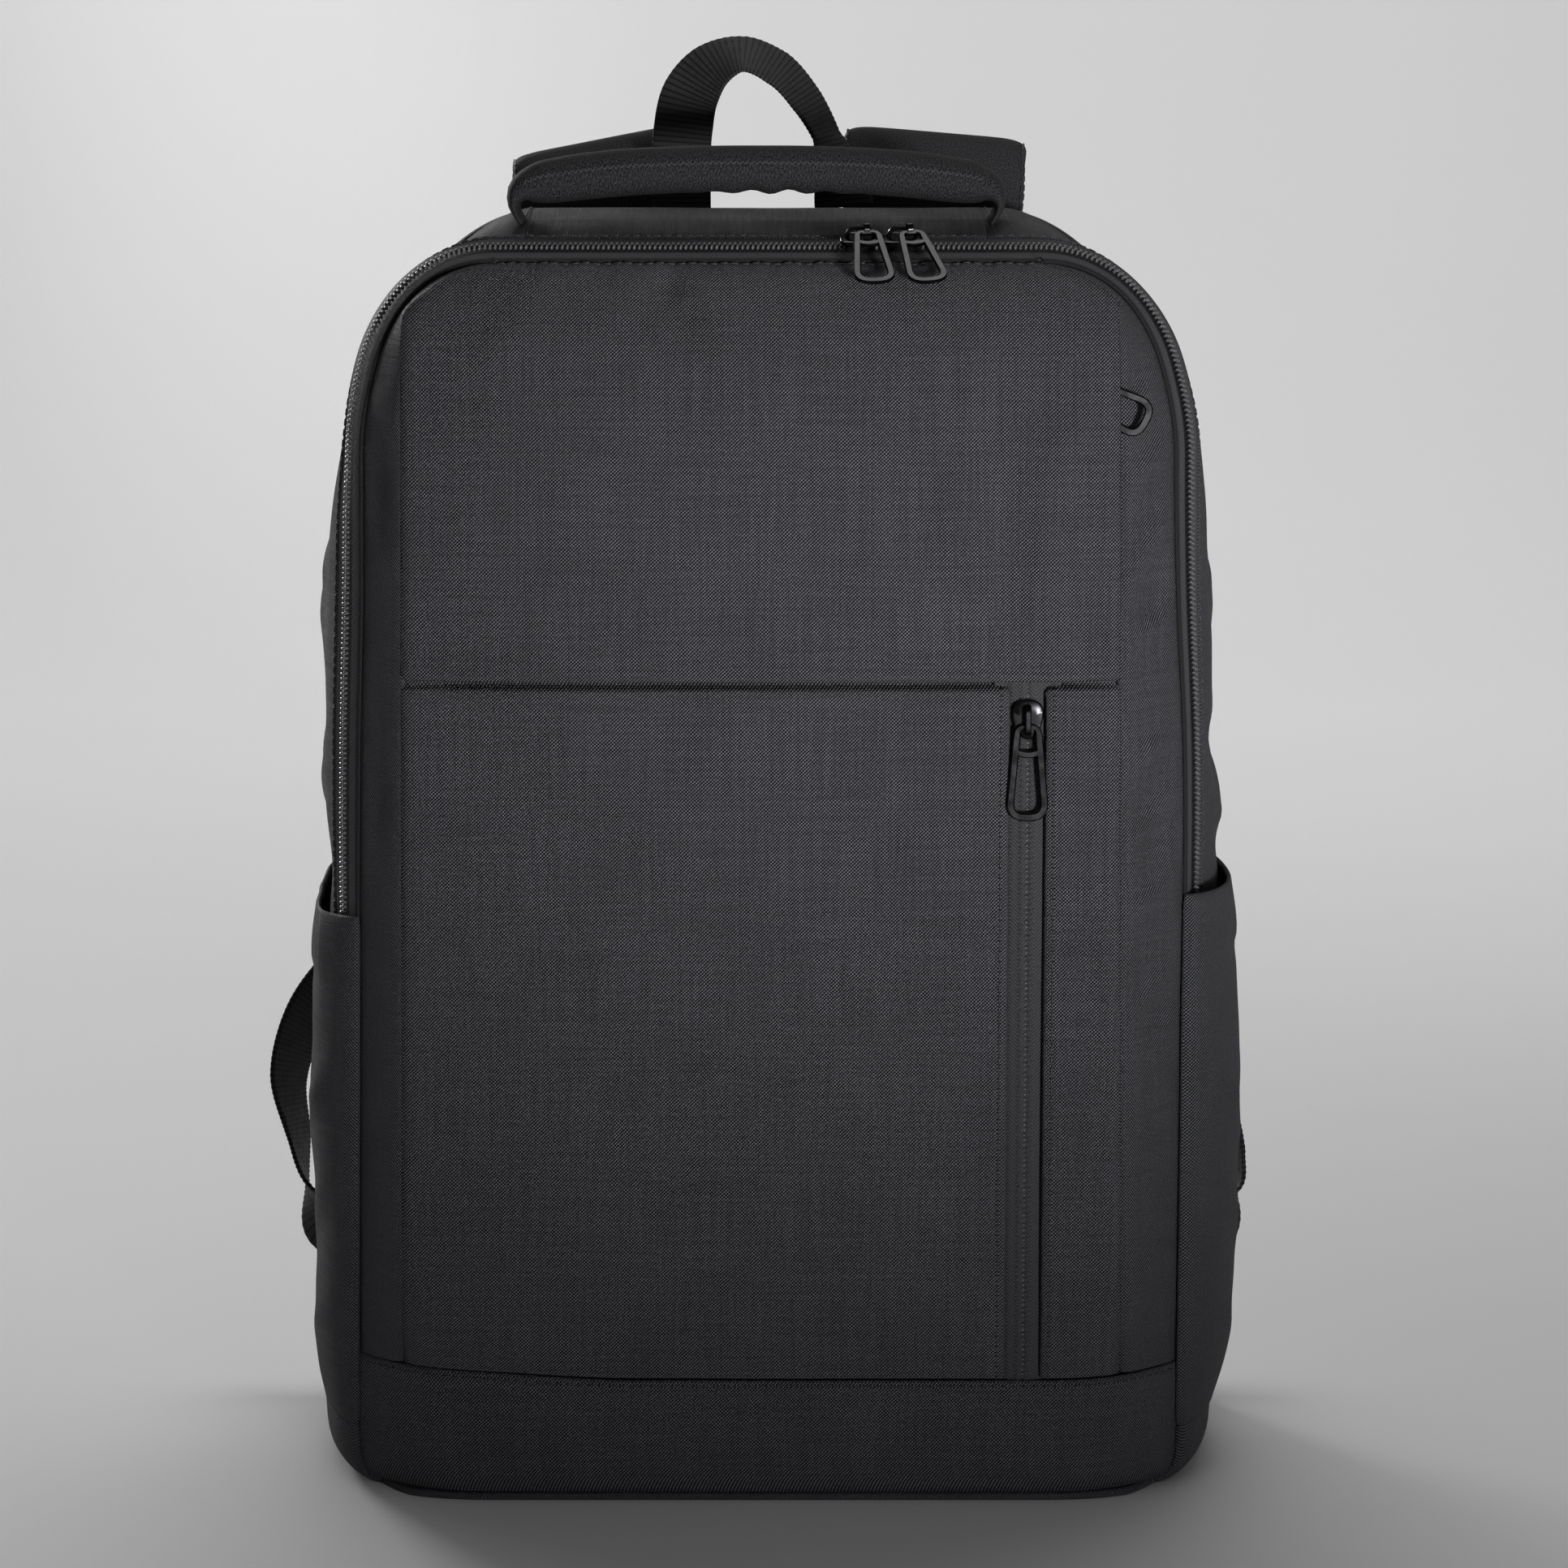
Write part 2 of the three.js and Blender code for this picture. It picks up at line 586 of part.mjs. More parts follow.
// Plan of the low sides at a depth: in at both seams, and out to a given half width between them
function sideReach(y, half) {
  const reach = clamp((y - POCKET_FRONT_Y) / (POCKET_BACK_Y - POCKET_FRONT_Y), 0, 1);
  const edge = lerp(POCKET_EDGE_FRONT, POCKET_EDGE_BACK, reach);
  const swelled = lerp(edge, half, Math.max(Math.sin(Math.PI * reach), 0) ** POCKET_POWER);
  return y < GUSSET_FRONT_Y ? swelled : Math.max(swelled, gussetHalf(y) + POCKET_CLOTH + GAP);
}

function bandFront(x, row) {
  const half = BAND_HALF - row.endIn;
  const bent = clamp((Math.abs(x) - BAND_BEND_HALF) / (half - BAND_BEND_HALF), 0, 1);
  const depth = LID_SEAM_Y - FRONT_DEPTH - row.out - BAND_END_Y;
  return BAND_END_Y + depth * (1 - bent ** BAND_POWER);
}

function bandWall(columns) {
  const grid = BAND_ROWS.map((row) => {
    const half = BAND_HALF - row.endIn;
    const line = [];
    for (let k = 0; k <= columns; k++) {
      const x = half * Math.sin((k / columns - 0.5) * Math.PI);
      line.push(vector(x, bandFront(x, row), row.z));
    }
    return line;
  });
  return wall(grid, () => vector(0, 1, 0), CLOTH);
}

function baseWall(columns) {
  const outwards = BASE_ROWS.slice(1).map((row) => ({ x: -row.x, z: row.z })).reverse();
  const folds = [...outwards, ...BASE_ROWS];
  const grid = folds.map((fold) => {
    const bent = clamp((Math.abs(fold.x) - BAND_BEND_HALF) / (BAND_HALF - BAND_BEND_HALF), 0, 1);
    const front = lerp(BASE_FRONT_Y, BASE_FLANGE_FRONT_Y, bent ** BAND_POWER);
    const line = [];
    for (let k = 0; k <= columns; k++) {
      const y = lerp(front, GUSSET_BACK_Y, 0.5 - 0.5 * Math.cos(Math.PI * k / columns));
      const beyond = Math.max(Math.abs(fold.x) - BASE_FLAT_HALF, 0);
      const flange = sideReach(y, BASE_FLANGE_HALF) - BASE_FLAT_HALF;
      const reach = flange / (BASE_FLANGE_HALF - BASE_FLAT_HALF);
      line.push(vector(fold.x + Math.sign(fold.x) * beyond * (reach - 1), y, fold.z));
    }
    return line;
  });
  const inward = (i, j, rows) => {
    const before = rows[Math.max(i - 1, 0)][j];
    const after = rows[Math.min(i + 1, rows.length - 1)][j];
    const along = after.clone().sub(before);
    return vector(-along.z, 0, along.x).normalize();
  };
  return wall(grid, inward, BASE_CLOTH);
}

// The side walls and the top

function sideDent(side, y, z) {
  let total = 0;
  for (const dent of SIDE_DENTS) {
    if (dent.side !== side) continue;
    const acrossY = (y - dent.y) / dent.spreadY;
    const acrossZ = (z - dent.z) / dent.spreadZ;
    total += dent.depth * Math.exp(-acrossY * acrossY - acrossZ * acrossZ);
  }
  const span = (y - GUSSET_FRONT_Y) / (GUSSET_BACK_Y - GUSSET_FRONT_Y);
  return total * Math.sin(Math.PI * clamp(span, 0, 1));
}

function gussetWall(side, endX) {
  const places = archPlaces(ROWS.side, ROWS.sideCorner, ROWS.sideTop);
  const grid = places.map((place) => GUSSET_STATIONS.map((station) => {
    const point = archPoint(side, station, place, SIDE_LOW, endX, station.y);
    if (place.part === 'side') point.x -= side * sideDent(side, station.y, point.z);
    return point;
  }));
  return wall(grid, archInward(side), CLOTH);
}

function topWall(columns) {
  const grid = GUSSET_STATIONS.map((station) => {
    const line = [];
    for (let k = 0; k <= columns; k++) {
      const x = lerp(FOOT_LEFT + GAP / 2, FOOT_RIGHT - GAP / 2, k / columns);
      line.push(vector(x, station.y, station.top));
    }
    return line;
  });
  return wall(grid, () => vector(0, 0, -1), CLOTH);
}

// The side pockets

function pocketWall(side, columns) {
  const name = side < 0 ? 'left' : 'right';
  const grid = POCKET_ROWS.map((row) => {
    const line = [];
    for (let k = 0; k <= columns; k++) {
      const across = k / columns;
      const y = lerp(POCKET_FRONT_Y, POCKET_BACK_Y, 0.5 - 0.5 * Math.cos(Math.PI * across));
      const back = (y - POCKET_FRONT_Y) / (POCKET_BACK_Y - POCKET_FRONT_Y);
      const sag = POCKET_MOUTH_SAG[name] * Math.sin(Math.PI * back);
      const mouth = lerp(POCKET_MOUTH_FRONT[name], POCKET_MOUTH_BACK[name], back) - sag;
      line.push(vector(side * sideReach(y, row[name]), y, lerp(POCKET_LOW, mouth, row.at)));
    }
    return line;
  });
  const inward = (i, j) => {
    const turn = Math.min(j / POCKET_TURN_COLUMNS, 1) * Math.PI / 2;
    return vector(-side * Math.sin(turn), Math.cos(turn), 0);
  };
  return wall(grid, inward, POCKET_CLOTH);
}

// The padded back: flat in front, and swelling out behind

function backPanel(columns, rows) {
  const grid = [];
  for (let i = 0; i <= rows; i++) {
    const up = 0.5 - 0.5 * Math.cos(Math.PI * i / rows);
    const z = lerp(BACK_LOW, BACK_OUTLINE.top, up);
    const low = clamp((BACK_LOW + BACK_LOW_ROUND - z) / BACK_LOW_ROUND, 0, 1);
    const half = halfWidthAt(BACK_OUTLINE, z) - BACK_LOW_ROUND * (1 - Math.sqrt(1 - low * low));
    const line = [];
    for (let j = 0; j <= columns; j++) {
      const across = Math.sin((j / columns - 0.5) * Math.PI);
      const swell = BACK_SWELL * (1 - across ** 4) * (1 - (2 * up - 1) ** 6);
      line.push(vector(across * half, BACK_FRONT_Y + BACK_RIM + swell, z));
    }
    grid.push(line);
  }
  const toFront = (i, j) => vector(0, BACK_FRONT_Y - grid[i][j].y, 0);
  return wall(grid, toFront, 1);
}

// The main zip

function zipOutline(y) {
  const back = (y - TAPE_FRONT_Y) / (TAPE_BACK_Y - TAPE_FRONT_Y);
  return mixOutlines(TAPE_FRONT_OUTLINE, TAPE_BACK_OUTLINE, back);
}

// Points along the whole zip at a depth, from the left foot over the top to the right foot
function zipLine(y, lowZ) {
  const outline = zipOutline(y);
  const places = archPlaces(ROWS.zip, ROWS.zipCorner, ROWS.zipTop);
  const left = places.map((place) => archPoint(-1, outline, place, lowZ, 0, y));
  const right = places.map((place) => archPoint(1, outline, place, lowZ, 0, y)).reverse();
  return [...left, ...right.slice(1)];
}

function tapeWall() {
  const depths = [TAPE_FRONT_Y, COIL_Y, TAPE_BACK_Y];
  const lines = depths.map((y) => zipLine(y, BAND_TOP + GAP));
  const grid = lines[0].map((point, i) => lines.map((line) => line[i]));
  return wall(grid, archInward(-1), TAPE_CLOTH);
}

function coilBead() {
  const section = [
    { y: COIL_Y - COIL_HALF, rise: COIL_CLEAR },
    { y: COIL_Y - COIL_HALF, rise: COIL_TALL * 0.6 },
    { y: COIL_Y - COIL_HALF / 2, rise: COIL_TALL },
    { y: COIL_Y + COIL_HALF / 2, rise: COIL_TALL },
    { y: COIL_Y + COIL_HALF, rise: COIL_TALL * 0.6 },
    { y: COIL_Y + COIL_HALF, rise: COIL_CLEAR },
  ];
  const lines = section.map((corner) => zipLine(corner.y, COIL_LOW));
  const inward = archInward(-1);
  const rings = lines[0].map((point, i) => section.map((corner, k) => {
    const column = lines[k].map((place) => [place]);
    return lines[k][i].clone().addScaledVector(inward(i, 0, column), -corner.rise);
  }));
  return loft(rings);
}

// Sliders and pulls

// A main slider in its own frame: zip along X, up out of the zip, the tape at zero
function mainSlider() {
  const top = COIL_TALL + COIL_CLEAR + SLIDER.plate;
  const half = SLIDER.wide / 2;
  const long = SLIDER.long / 2;
  const under = box(-long - 1, long + 1, -half + SLIDER.flange, half - SLIDER.flange, -1, top - SLIDER.plate);
  const body = solid(box(-long, long, -half, half, COIL_CLEAR, top)).subtract(solid(under));
  const { legX, legWide, rise, round } = PULL_BAR;
  const bar = barAlongX(round, 2 * legX + legWide, 8);
  bar.translate(0, 0, top + rise);
  const legs = [-legX, legX].map((x) => box(
    x - legWide / 2, x + legWide / 2, -round, round, top - JOIN, top + rise,
  ));
  return geometryOf(body.add(solid(bar)).add(solid(legs[0])).add(solid(legs[1])));
}

// Height of a main slider's bar above the tape
const MAIN_HINGE_RISE = COIL_TALL + COIL_CLEAR + SLIDER.plate + PULL_BAR.rise;

function roundedPath(path, corners) {
  corners.forEach((corner, k) => {
    const before = corners[(k + corners.length - 1) % corners.length];
    const after = corners[(k + 1) % corners.length];
    const here = new THREE.Vector2(corner.x, corner.z);
    const from = new THREE.Vector2(before.x, before.z).sub(here).setLength(corner.round).add(here);
    const to = new THREE.Vector2(after.x, after.z).sub(here).setLength(corner.round).add(here);
    if (k === 0) path.moveTo(from.x, from.y);
    else path.lineTo(from.x, from.y);
    path.quadraticCurveTo(here.x, here.y, to.x, to.y);
  });
  path.closePath();
  return path;
}

// The pull tab flat in its own frame: hanging down from its hinge at zero, thickness along Y
function pullTab(topZ, long) {
  const footZ = topZ - long;
  const halfAt = (z) => lerp(PULL.topWide, PULL.footWide, (topZ - z) / long) / 2;
  const frame = (highZ, lowZ, inset, round, roundLow) => [
    { x: -halfAt(highZ) + inset, z: highZ, round },
    { x: -halfAt(lowZ) + inset, z: lowZ, round: roundLow },
    { x: halfAt(lowZ) - inset, z: lowZ, round: roundLow },
    { x: halfAt(highZ) - inset, z: highZ, round },
  ];
  const { rail, slimRail, bar, smallWindow } = PULL_FRAME;
  const smallTop = topZ - bar;
  const smallLow = smallTop - smallWindow;
  const largeTop = smallLow - bar;
  const edge = frame(topZ, footZ, 0, PULL_ROUND.top, PULL_ROUND.foot);
  const small = frame(smallTop, smallLow, slimRail, PULL_ROUND.smallWindow, PULL_ROUND.smallWindow);
  const large = frame(largeTop, footZ + rail, rail, PULL_ROUND.windowTop, PULL_ROUND.windowFoot);
  const shape = roundedPath(new THREE.Shape(), edge);
  shape.holes.push(roundedPath(new THREE.Path(), small));
  shape.holes.push(roundedPath(new THREE.Path(), large));
  const options = { depth: PULL.thick, bevelEnabled: false, curveSegments: 3 };
  const geometry = new THREE.ExtrudeGeometry(shape, options);
  geometry.rotateX(Math.PI / 2);
  geometry.translate(0, PULL.thick / 2, 0);
  return geometry;
}

// A main pull: the tab with an eye at its top that goes round the slider's bar
function eyePull() {
  const round = solid(barAlongX(EYE.outer, EYE.wide, 10));
  const ring = round.subtract(solid(barAlongX(EYE.inner, EYE.wide + 1, 10)));
  return geometryOf(solid(pullTab(-EYE.drop, PULL.eyeLong)).add(ring));
}

// The front slider in its own frame: zip along Z, out of the bag along -Y, the tape at zero
function frontSlider() {
  const top = FRONT_COIL_TALL + COIL_CLEAR + SLIDER.plate;
  const half = SLIDER.wide / 2;
  const long = SLIDER.long / 2;
  const body = solid(box(-half, half, -top, -COIL_CLEAR, -long, long));
  const under = box(-half + SLIDER.flange, half - SLIDER.flange, -top + SLIDER.plate, 1, -long - 1, long + 1);
  const crownTop = top + ARCH.clear + ARCH.crown;
  const crown = box(-ARCH.wide / 2, ARCH.wide / 2, -crownTop, -top + JOIN, -ARCH.half, ARCH.half);
  const inside = ARCH.half - ARCH.leg;
  const hollow = box(-ARCH.wide, ARCH.wide, -top - ARCH.clear, -top, -inside, inside);
  const arch = solid(crown).subtract(solid(hollow));
  return geometryOf(body.subtract(solid(under)).add(arch));
}

function ladderLock() {
  const half = LOCK.wide / 2;
  const end = LOCK.long / 2;
  const plate = solid(box(-half, half, -LOCK.thick / 2, LOCK.thick / 2, -end, end));
  const slots = [-1, 1].map((side) => {
    const from = side * LOCK.bar / 2;
    const to = side * (LOCK.bar / 2 + LOCK.slotLong);
    const reach = LOCK.slotWide / 2;
    return solid(box(-reach, reach, -LOCK.thick, LOCK.thick, Math.min(from, to), Math.max(from, to)));
  });
  return geometryOf(plate.subtract(slots[0]).subtract(slots[1]));
}

// Straps, webbing and the handle

// Rings along a line of rows; each row gives its middle, the way its width points and the section's sizes
function ribbonRings(rows, samples, corners) {
  const places = rows.map((row) => vector(row.x, row.y, row.z));
  const middle = new THREE.CatmullRomCurve3(places, false, 'centripetal');
  const rings = [];
  for (let k = 0; k <= samples; k++) {
    const place = (k / samples) * (rows.length - 1);
    const low = Math.min(Math.floor(place), rows.length - 2);
    const mix = (key) => lerp(rows[low][key], rows[low + 1][key], place - low);
    const at = place / (rows.length - 1);
    const along = middle.getTangent(at);
    const across = vector(mix('acrossX'), mix('acrossY'), mix('acrossZ'));
    across.addScaledVector(along, -across.dot(along)).normalize();
    const through = vector().crossVectors(along, across);
    const here = middle.getPoint(at);
    rings.push(corners.map((corner) => here.clone()
      .addScaledVector(across, corner.across * mix('wide') / 2)
      .addScaledVector(through, corner.through * mix('thick') / 2)));
  }
  return rings;
}

const FLAT_SECTION = [
  { across: -1, through: -1 },
  { across: 1, through: -1 },
  { across: 1, through: 1 },
  { across: -1, through: 1 },
];

const PAD_SECTION = [
  { across: -0.9, through: -1 },
  { across: 0, through: -1 },
  { across: 0.9, through: -1 },
  { across: 1, through: -0.35 },
  { across: 1, through: 0.35 },
  { across: 0.9, through: 1 },
  { across: 0, through: 1 },
  { across: -0.9, through: 1 },
  { across: -1, through: 0.35 },
  { across: -1, through: -0.35 },
];

const ROUND_SECTION = Array.from({ length: 12 }, (unused, k) => ({
  across: Math.cos(Math.PI * k / 6),
  through: Math.sin(Math.PI * k / 6),
}));

function strapRows(side) {
  const name = side < 0 ? 'left' : 'right';
  const across = { acrossX: 1, acrossY: 0, acrossZ: side * STRAP_TILT[name] };
  return STRAP_ROWS.map((row) => ({
    ...row, x: side * row.x, z: row.z - STRAP_LOWER[name], ...across,
  }));
}

// The place and turn of a strap's lower end
function strapEnd(side) {
  const rows = strapRows(side);
  const [last, before] = [rows.at(-1), rows.at(-2)];
  const end = vector(last.x, last.y, last.z);
  const along = end.clone().sub(vector(before.x, before.y, before.z)).normalize();
  const across = vector(1, 0, last.acrossZ);
  across.addScaledVector(along, -across.dot(along)).normalize();
  const through = vector().crossVectors(along.clone().negate(), across);
  return { end, along, across, through };
}

function webbingRows(side) {
  const { end, along, across } = strapEnd(side);
  const size = { wide: WEBBING_WIDTH, thick: WEBBING_THICK };
  const fromEnd = (far) => {
    const place = end.clone().addScaledVector(along, far);
    const turn = { acrossX: -across.x, acrossY: -across.y, acrossZ: -across.z };
    return { x: place.x, y: place.y, z: place.z, ...turn, ...size };
  };
  const top = LOCK.long + 2 * GAP;
  const rest = WEBBING_ROWS[side < 0 ? 'left' : 'right'].map((row) => ({
    ...row, x: side * row.x, acrossY: side * row.acrossY, acrossZ: side * row.acrossZ, ...size,
  }));
  return [fromEnd(top), fromEnd(top + LOCK_TAIL), ...rest];
}

function tabRings(side) {
  const ringAt = (y) => TAB_CORNERS.map((corner) => vector(side * corner.x, y, corner.z));
  return [ringAt(TAB_Y), ringAt(TAB_Y + TAB_THICK)];
}

function handleRings() {
  const centre = (FOOT_LEFT + FOOT_RIGHT) / 2;
  const half = (FOOT_RIGHT - FOOT_LEFT) / 2;
  const rightHalf = HANDLE_ROWS.map((row) => ({ ...row, x: centre + row.along * half }));
  const leftHalf = HANDLE_ROWS.slice(1).map((row) => ({ ...row, x: centre - row.along * half })).reverse();
  const rows = [...leftHalf, ...rightHalf];
  return rows.map((row, k) => {
    const before = rows[Math.max(k - 1, 0)];
    const after = rows[Math.min(k + 1, rows.length - 1)];
    const along = vector(after.x - before.x, 0, after.z - before.z).normalize();
    const up = vector(-along.z, 0, along.x);
    const foot = k === 0 || k === rows.length - 1;
    const lean = foot ? HANDLE_FOOT_LEAN : 0;
    if (foot) up.set(k === 0 ? -1 : 1, 0, 0);
    return ROUND_SECTION.map((corner) => {
      const y = corner.across * row.deep / 2;
      const point = vector(row.x, HANDLE_Y + y, row.z + lean * y);
      return point.addScaledVector(up, corner.through * row.tall / 2);
    });
  });
}

// The whole bag

const bag = new THREE.Group();
bag.name = 'laptop_backpack';

const lowRows = lidRows(BAND_TOP + GAP, TUCK_HIGH, ROWS.frontLow, 0);
const highRows = lidRows(TUCK_LOW, ROLL_Z, ROWS.frontHigh, ROWS.roll);
const facetRows = lidRows(BAND_TOP + GAP, ROLL_Z, ROWS.facet, ROWS.roll);
const leftCrease = (z) => creaseX(-1, z) + GAP / 2;
const rightCrease = (z) => creaseX(1, z) - GAP / 2;
const zipLeft = () => FRONT_ZIP_X - FRONT_ZIP_WINDOW / 2;
const zipRight = () => FRONT_ZIP_X + FRONT_ZIP_WINDOW / 2;
const flat = () => 0;
const lip = (z) => LIP_OUT * Math.exp(-(z - TUCK_LOW) / LIP_REACH);

const faceUpper = faceWall(highRows, leftCrease, rightCrease, COLUMNS.faceUpper, lip);
const faceLower = faceWall(lowRows, leftCrease, zipLeft, COLUMNS.faceLower, flat);
const zipStrip = faceWall(lowRows, zipRight, rightCrease, COLUMNS.zipStrip, flat);
bag.add(mesh('front_face_upper', faceUpper, 'cloth'));
bag.add(mesh('front_face_lower', faceLower, 'cloth'));
bag.add(mesh('front_zip_strip', zipStrip, 'cloth'));
bag.add(mesh('front_facet_left', facetWall(-1, facetRows, COLUMNS.facet), 'cloth'));
bag.add(mesh('front_facet_right', facetWall(1, facetRows, COLUMNS.facet), 'cloth'));
bag.add(mesh('bottom_band', bandWall(COLUMNS.band), 'cloth'));
bag.add(mesh('base_panel', baseWall(COLUMNS.base), 'base'));
bag.add(mesh('gusset_left', gussetWall(-1, FOOT_LEFT - GAP / 2), 'darkCloth'));
bag.add(mesh('gusset_right', gussetWall(1, FOOT_RIGHT + GAP / 2), 'darkCloth'));
bag.add(mesh('top_panel', topWall(COLUMNS.top), 'darkCloth'));
bag.add(mesh('back_panel', backPanel(COLUMNS.back, ROWS.back), 'padded'));
bag.add(mesh('side_pocket_left', pocketWall(-1, COLUMNS.pocket), 'darkCloth'));
bag.add(mesh('side_pocket_right', pocketWall(1, COLUMNS.pocket), 'darkCloth'));
bag.add(mesh('main_zip_tape', tapeWall(), 'tape'));
bag.add(mesh('main_zip_coil', coilBead(), 'coil'));

// The two main sliders sit on the slope of the tape at the top of the bag
const coilTop = zipOutline(COIL_Y).top;
const tapeRise = TAPE_BACK_OUTLINE.top - TAPE_FRONT_OUTLINE.top;
const tapeSlope = Math.atan2(tapeRise, TAPE_BACK_Y - TAPE_FRONT_Y);
for (const place of MAIN_SLIDERS) {
  const seat = new THREE.Group();
  seat.name = `main_seat_${place.name}`;
  seat.position.set(place.x, COIL_Y, coilTop);
  seat.rotation.x = tapeSlope;
  seat.add(mesh(`main_slider_${place.name}`, mainSlider(), 'metal'));
  const swivel = new THREE.Group();
  swivel.name = `main_swivel_${place.name}`;
  swivel.position.z = MAIN_HINGE_RISE;
  swivel.rotation.z = degToRad(place.lean);
  const pull = mesh(`main_pull_${place.name}`, eyePull(), 'metal');
  pull.rotation.x = -degToRad(90 - MAIN_PULL_DROP) - tapeSlope;
  swivel.add(pull);
  seat.add(swivel);
  bag.add(seat);
}

// The front zip lies behind the two front pieces on either side of it
const tapeHalf = FRONT_TAPE_WIDE / 2;
const frontTape = box(
  FRONT_ZIP_X - tapeHalf, FRONT_ZIP_X + tapeHalf,
  FRONT_TAPE_Y, FRONT_TAPE_Y + TAPE_CLOTH, BAND_TOP + GAP, TUCK_HIGH,
);
bag.add(mesh('front_zip_tape', frontTape, 'tape'));
const frontCoil = box(
  FRONT_ZIP_X - FRONT_COIL_HALF, FRONT_ZIP_X + FRONT_COIL_HALF,
  FRONT_TAPE_Y - FRONT_COIL_TALL, FRONT_TAPE_Y - COIL_CLEAR, BAND_TOP + GAP, FRONT_COIL_TOP,
);
bag.add(mesh('front_zip_coil', frontCoil, 'coil'));
const frontSeat = new THREE.Group();
frontSeat.name = 'front_seat';
frontSeat.position.set(FRONT_ZIP_X, FRONT_TAPE_Y, FRONT_SLIDER_Z);
frontSeat.add(mesh('front_slider', frontSlider(), 'metal'));
const frontPull = mesh('front_pull', pullTab(PULL_FRAME.bar / 2, PULL.long), 'metal');
const frontHingeRise = FRONT_COIL_TALL + COIL_CLEAR + SLIDER.plate + FRONT_PULL_RISE;
frontPull.position.set(0, -frontHingeRise, -FRONT_PULL_DROP);
frontSeat.add(frontPull);
bag.add(frontSeat);

// The pull under the right crease lies on its side, with its foot to the right
const sideSeat = new THREE.Group();
sideSeat.name = 'side_seat';
sideSeat.position.set(SIDE_PULL.tipX - PULL.long, SIDE_PULL.y, SIDE_PULL.z);
sideSeat.rotation.y = degToRad(SIDE_PULL.turn);
const sidePull = mesh('side_pull', pullTab(0, PULL.long), 'metal');
sidePull.rotation.y = -Math.PI / 2;
sideSeat.add(sidePull);
const sideSlider = box(
  -SIDE_SLIDER.long - GAP, -GAP,
  -PULL.thick / 2, SIDE_SLIDER.deep, -SIDE_SLIDER.tall / 2, SIDE_SLIDER.tall / 2,
);
sideSeat.add(mesh('side_slider', sideSlider, 'metal'));
bag.add(sideSeat);

bag.add(mesh('carry_handle', loft(handleRings()), 'webbing'));
const loopRows = LOOP_ROWS.map((row) => ({ ...row, wide: LOOP_WIDTH, thick: LOOP_THICK }));
bag.add(mesh('hang_loop', loft(ribbonRings(loopRows, ROWS.loop, FLAT_SECTION)), 'webbing'));

for (const [name, side] of [['left', -1], ['right', 1]]) {
  const padRings = ribbonRings(strapRows(side), ROWS.strap, PAD_SECTION);
  bag.add(mesh(`shoulder_strap_${name}`, loft(padRings), 'padded'));
  const { end, along, across, through } = strapEnd(side);
  const lock = mesh(`ladder_lock_${name}`, ladderLock(), 'plastic');
  lock.position.copy(end).addScaledVector(along, GAP + LOCK.long / 2);
  const turn = new THREE.Matrix4().makeBasis(across, through.negate(), along.clone().negate());
  lock.quaternion.setFromRotationMatrix(turn);
  bag.add(lock);
  const webbingRings = ribbonRings(webbingRows(side), ROWS.webbing, FLAT_SECTION);
  bag.add(mesh(`strap_webbing_${name}`, loft(webbingRings), 'webbing'));
  bag.add(mesh(`strap_tab_${name}`, loft(tabRings(side)), 'webbing'));
}

export default bag;
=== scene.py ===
"""Dresses the laptop backpack with woven cloth, seams, zips and metal, and sets the stage for its
picture."""
import bpy
import numpy as np
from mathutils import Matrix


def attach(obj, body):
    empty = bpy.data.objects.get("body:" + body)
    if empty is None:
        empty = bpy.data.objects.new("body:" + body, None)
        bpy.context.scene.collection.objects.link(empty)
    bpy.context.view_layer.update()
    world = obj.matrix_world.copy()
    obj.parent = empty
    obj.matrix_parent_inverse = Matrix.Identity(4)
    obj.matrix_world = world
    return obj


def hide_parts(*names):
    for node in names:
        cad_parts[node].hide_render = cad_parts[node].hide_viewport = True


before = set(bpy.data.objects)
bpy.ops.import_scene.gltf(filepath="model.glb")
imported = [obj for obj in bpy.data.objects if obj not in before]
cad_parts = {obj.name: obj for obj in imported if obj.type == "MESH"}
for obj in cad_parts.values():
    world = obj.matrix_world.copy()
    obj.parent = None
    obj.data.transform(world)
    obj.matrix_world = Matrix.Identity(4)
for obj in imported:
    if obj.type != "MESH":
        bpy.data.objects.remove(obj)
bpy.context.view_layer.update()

from types import SimpleNamespace as Sizes
from bpy.props import FloatProperty, FloatVectorProperty, IntProperty, PointerProperty
from bpy.types import Operator, Panel, PropertyGroup

bl_info = {
    "name": "Laptop backpack",
    "version": (1, 0, 0),
    "blender": (4, 5, 0),
    "location": "3D View > Sidebar > Backpack",
    "description": "Cloth, seams, zips, hardware and stage for a laptop backpack",
    "category": "Add Mesh",
}

MM = 0.001
BODY = "bag"
SIDES = dict(left=-1, right=1)
CRISP_ANGLE = 0.5
LEAST_AREA = 0.31

# Sizes of the bag in millimetres: +X to the viewer's right, front to -Y, +Z up, floor at zero
CLOTH = 2.0
POCKET_CLOTH = 1.6
TAPE_CLOTH = 1.3
BASE_CLOTH = 2.5
RIM_SHARE = 0.45
SEAM_GAP = 0.4
CENTRE = np.array([0.0, 0.0, 200.0])

# Where the seams lie from front to back, and the heights of the cross seams
LID_SEAM_Y = -52.0
TAPE_FRONT_Y = -51.2
COIL_Y = -42.4
TAPE_BACK_Y = -33.6
GUSSET_FRONT_Y = -33.2
GUSSET_BACK_Y = 56.6
BACK_FRONT_Y = 57.0
SIDE_LOW = 20.6
BAND_TOP = 41.0
TUCK_LOW = 273.4
TUCK_HIGH = 275.4
ROLL_Z = 345.0

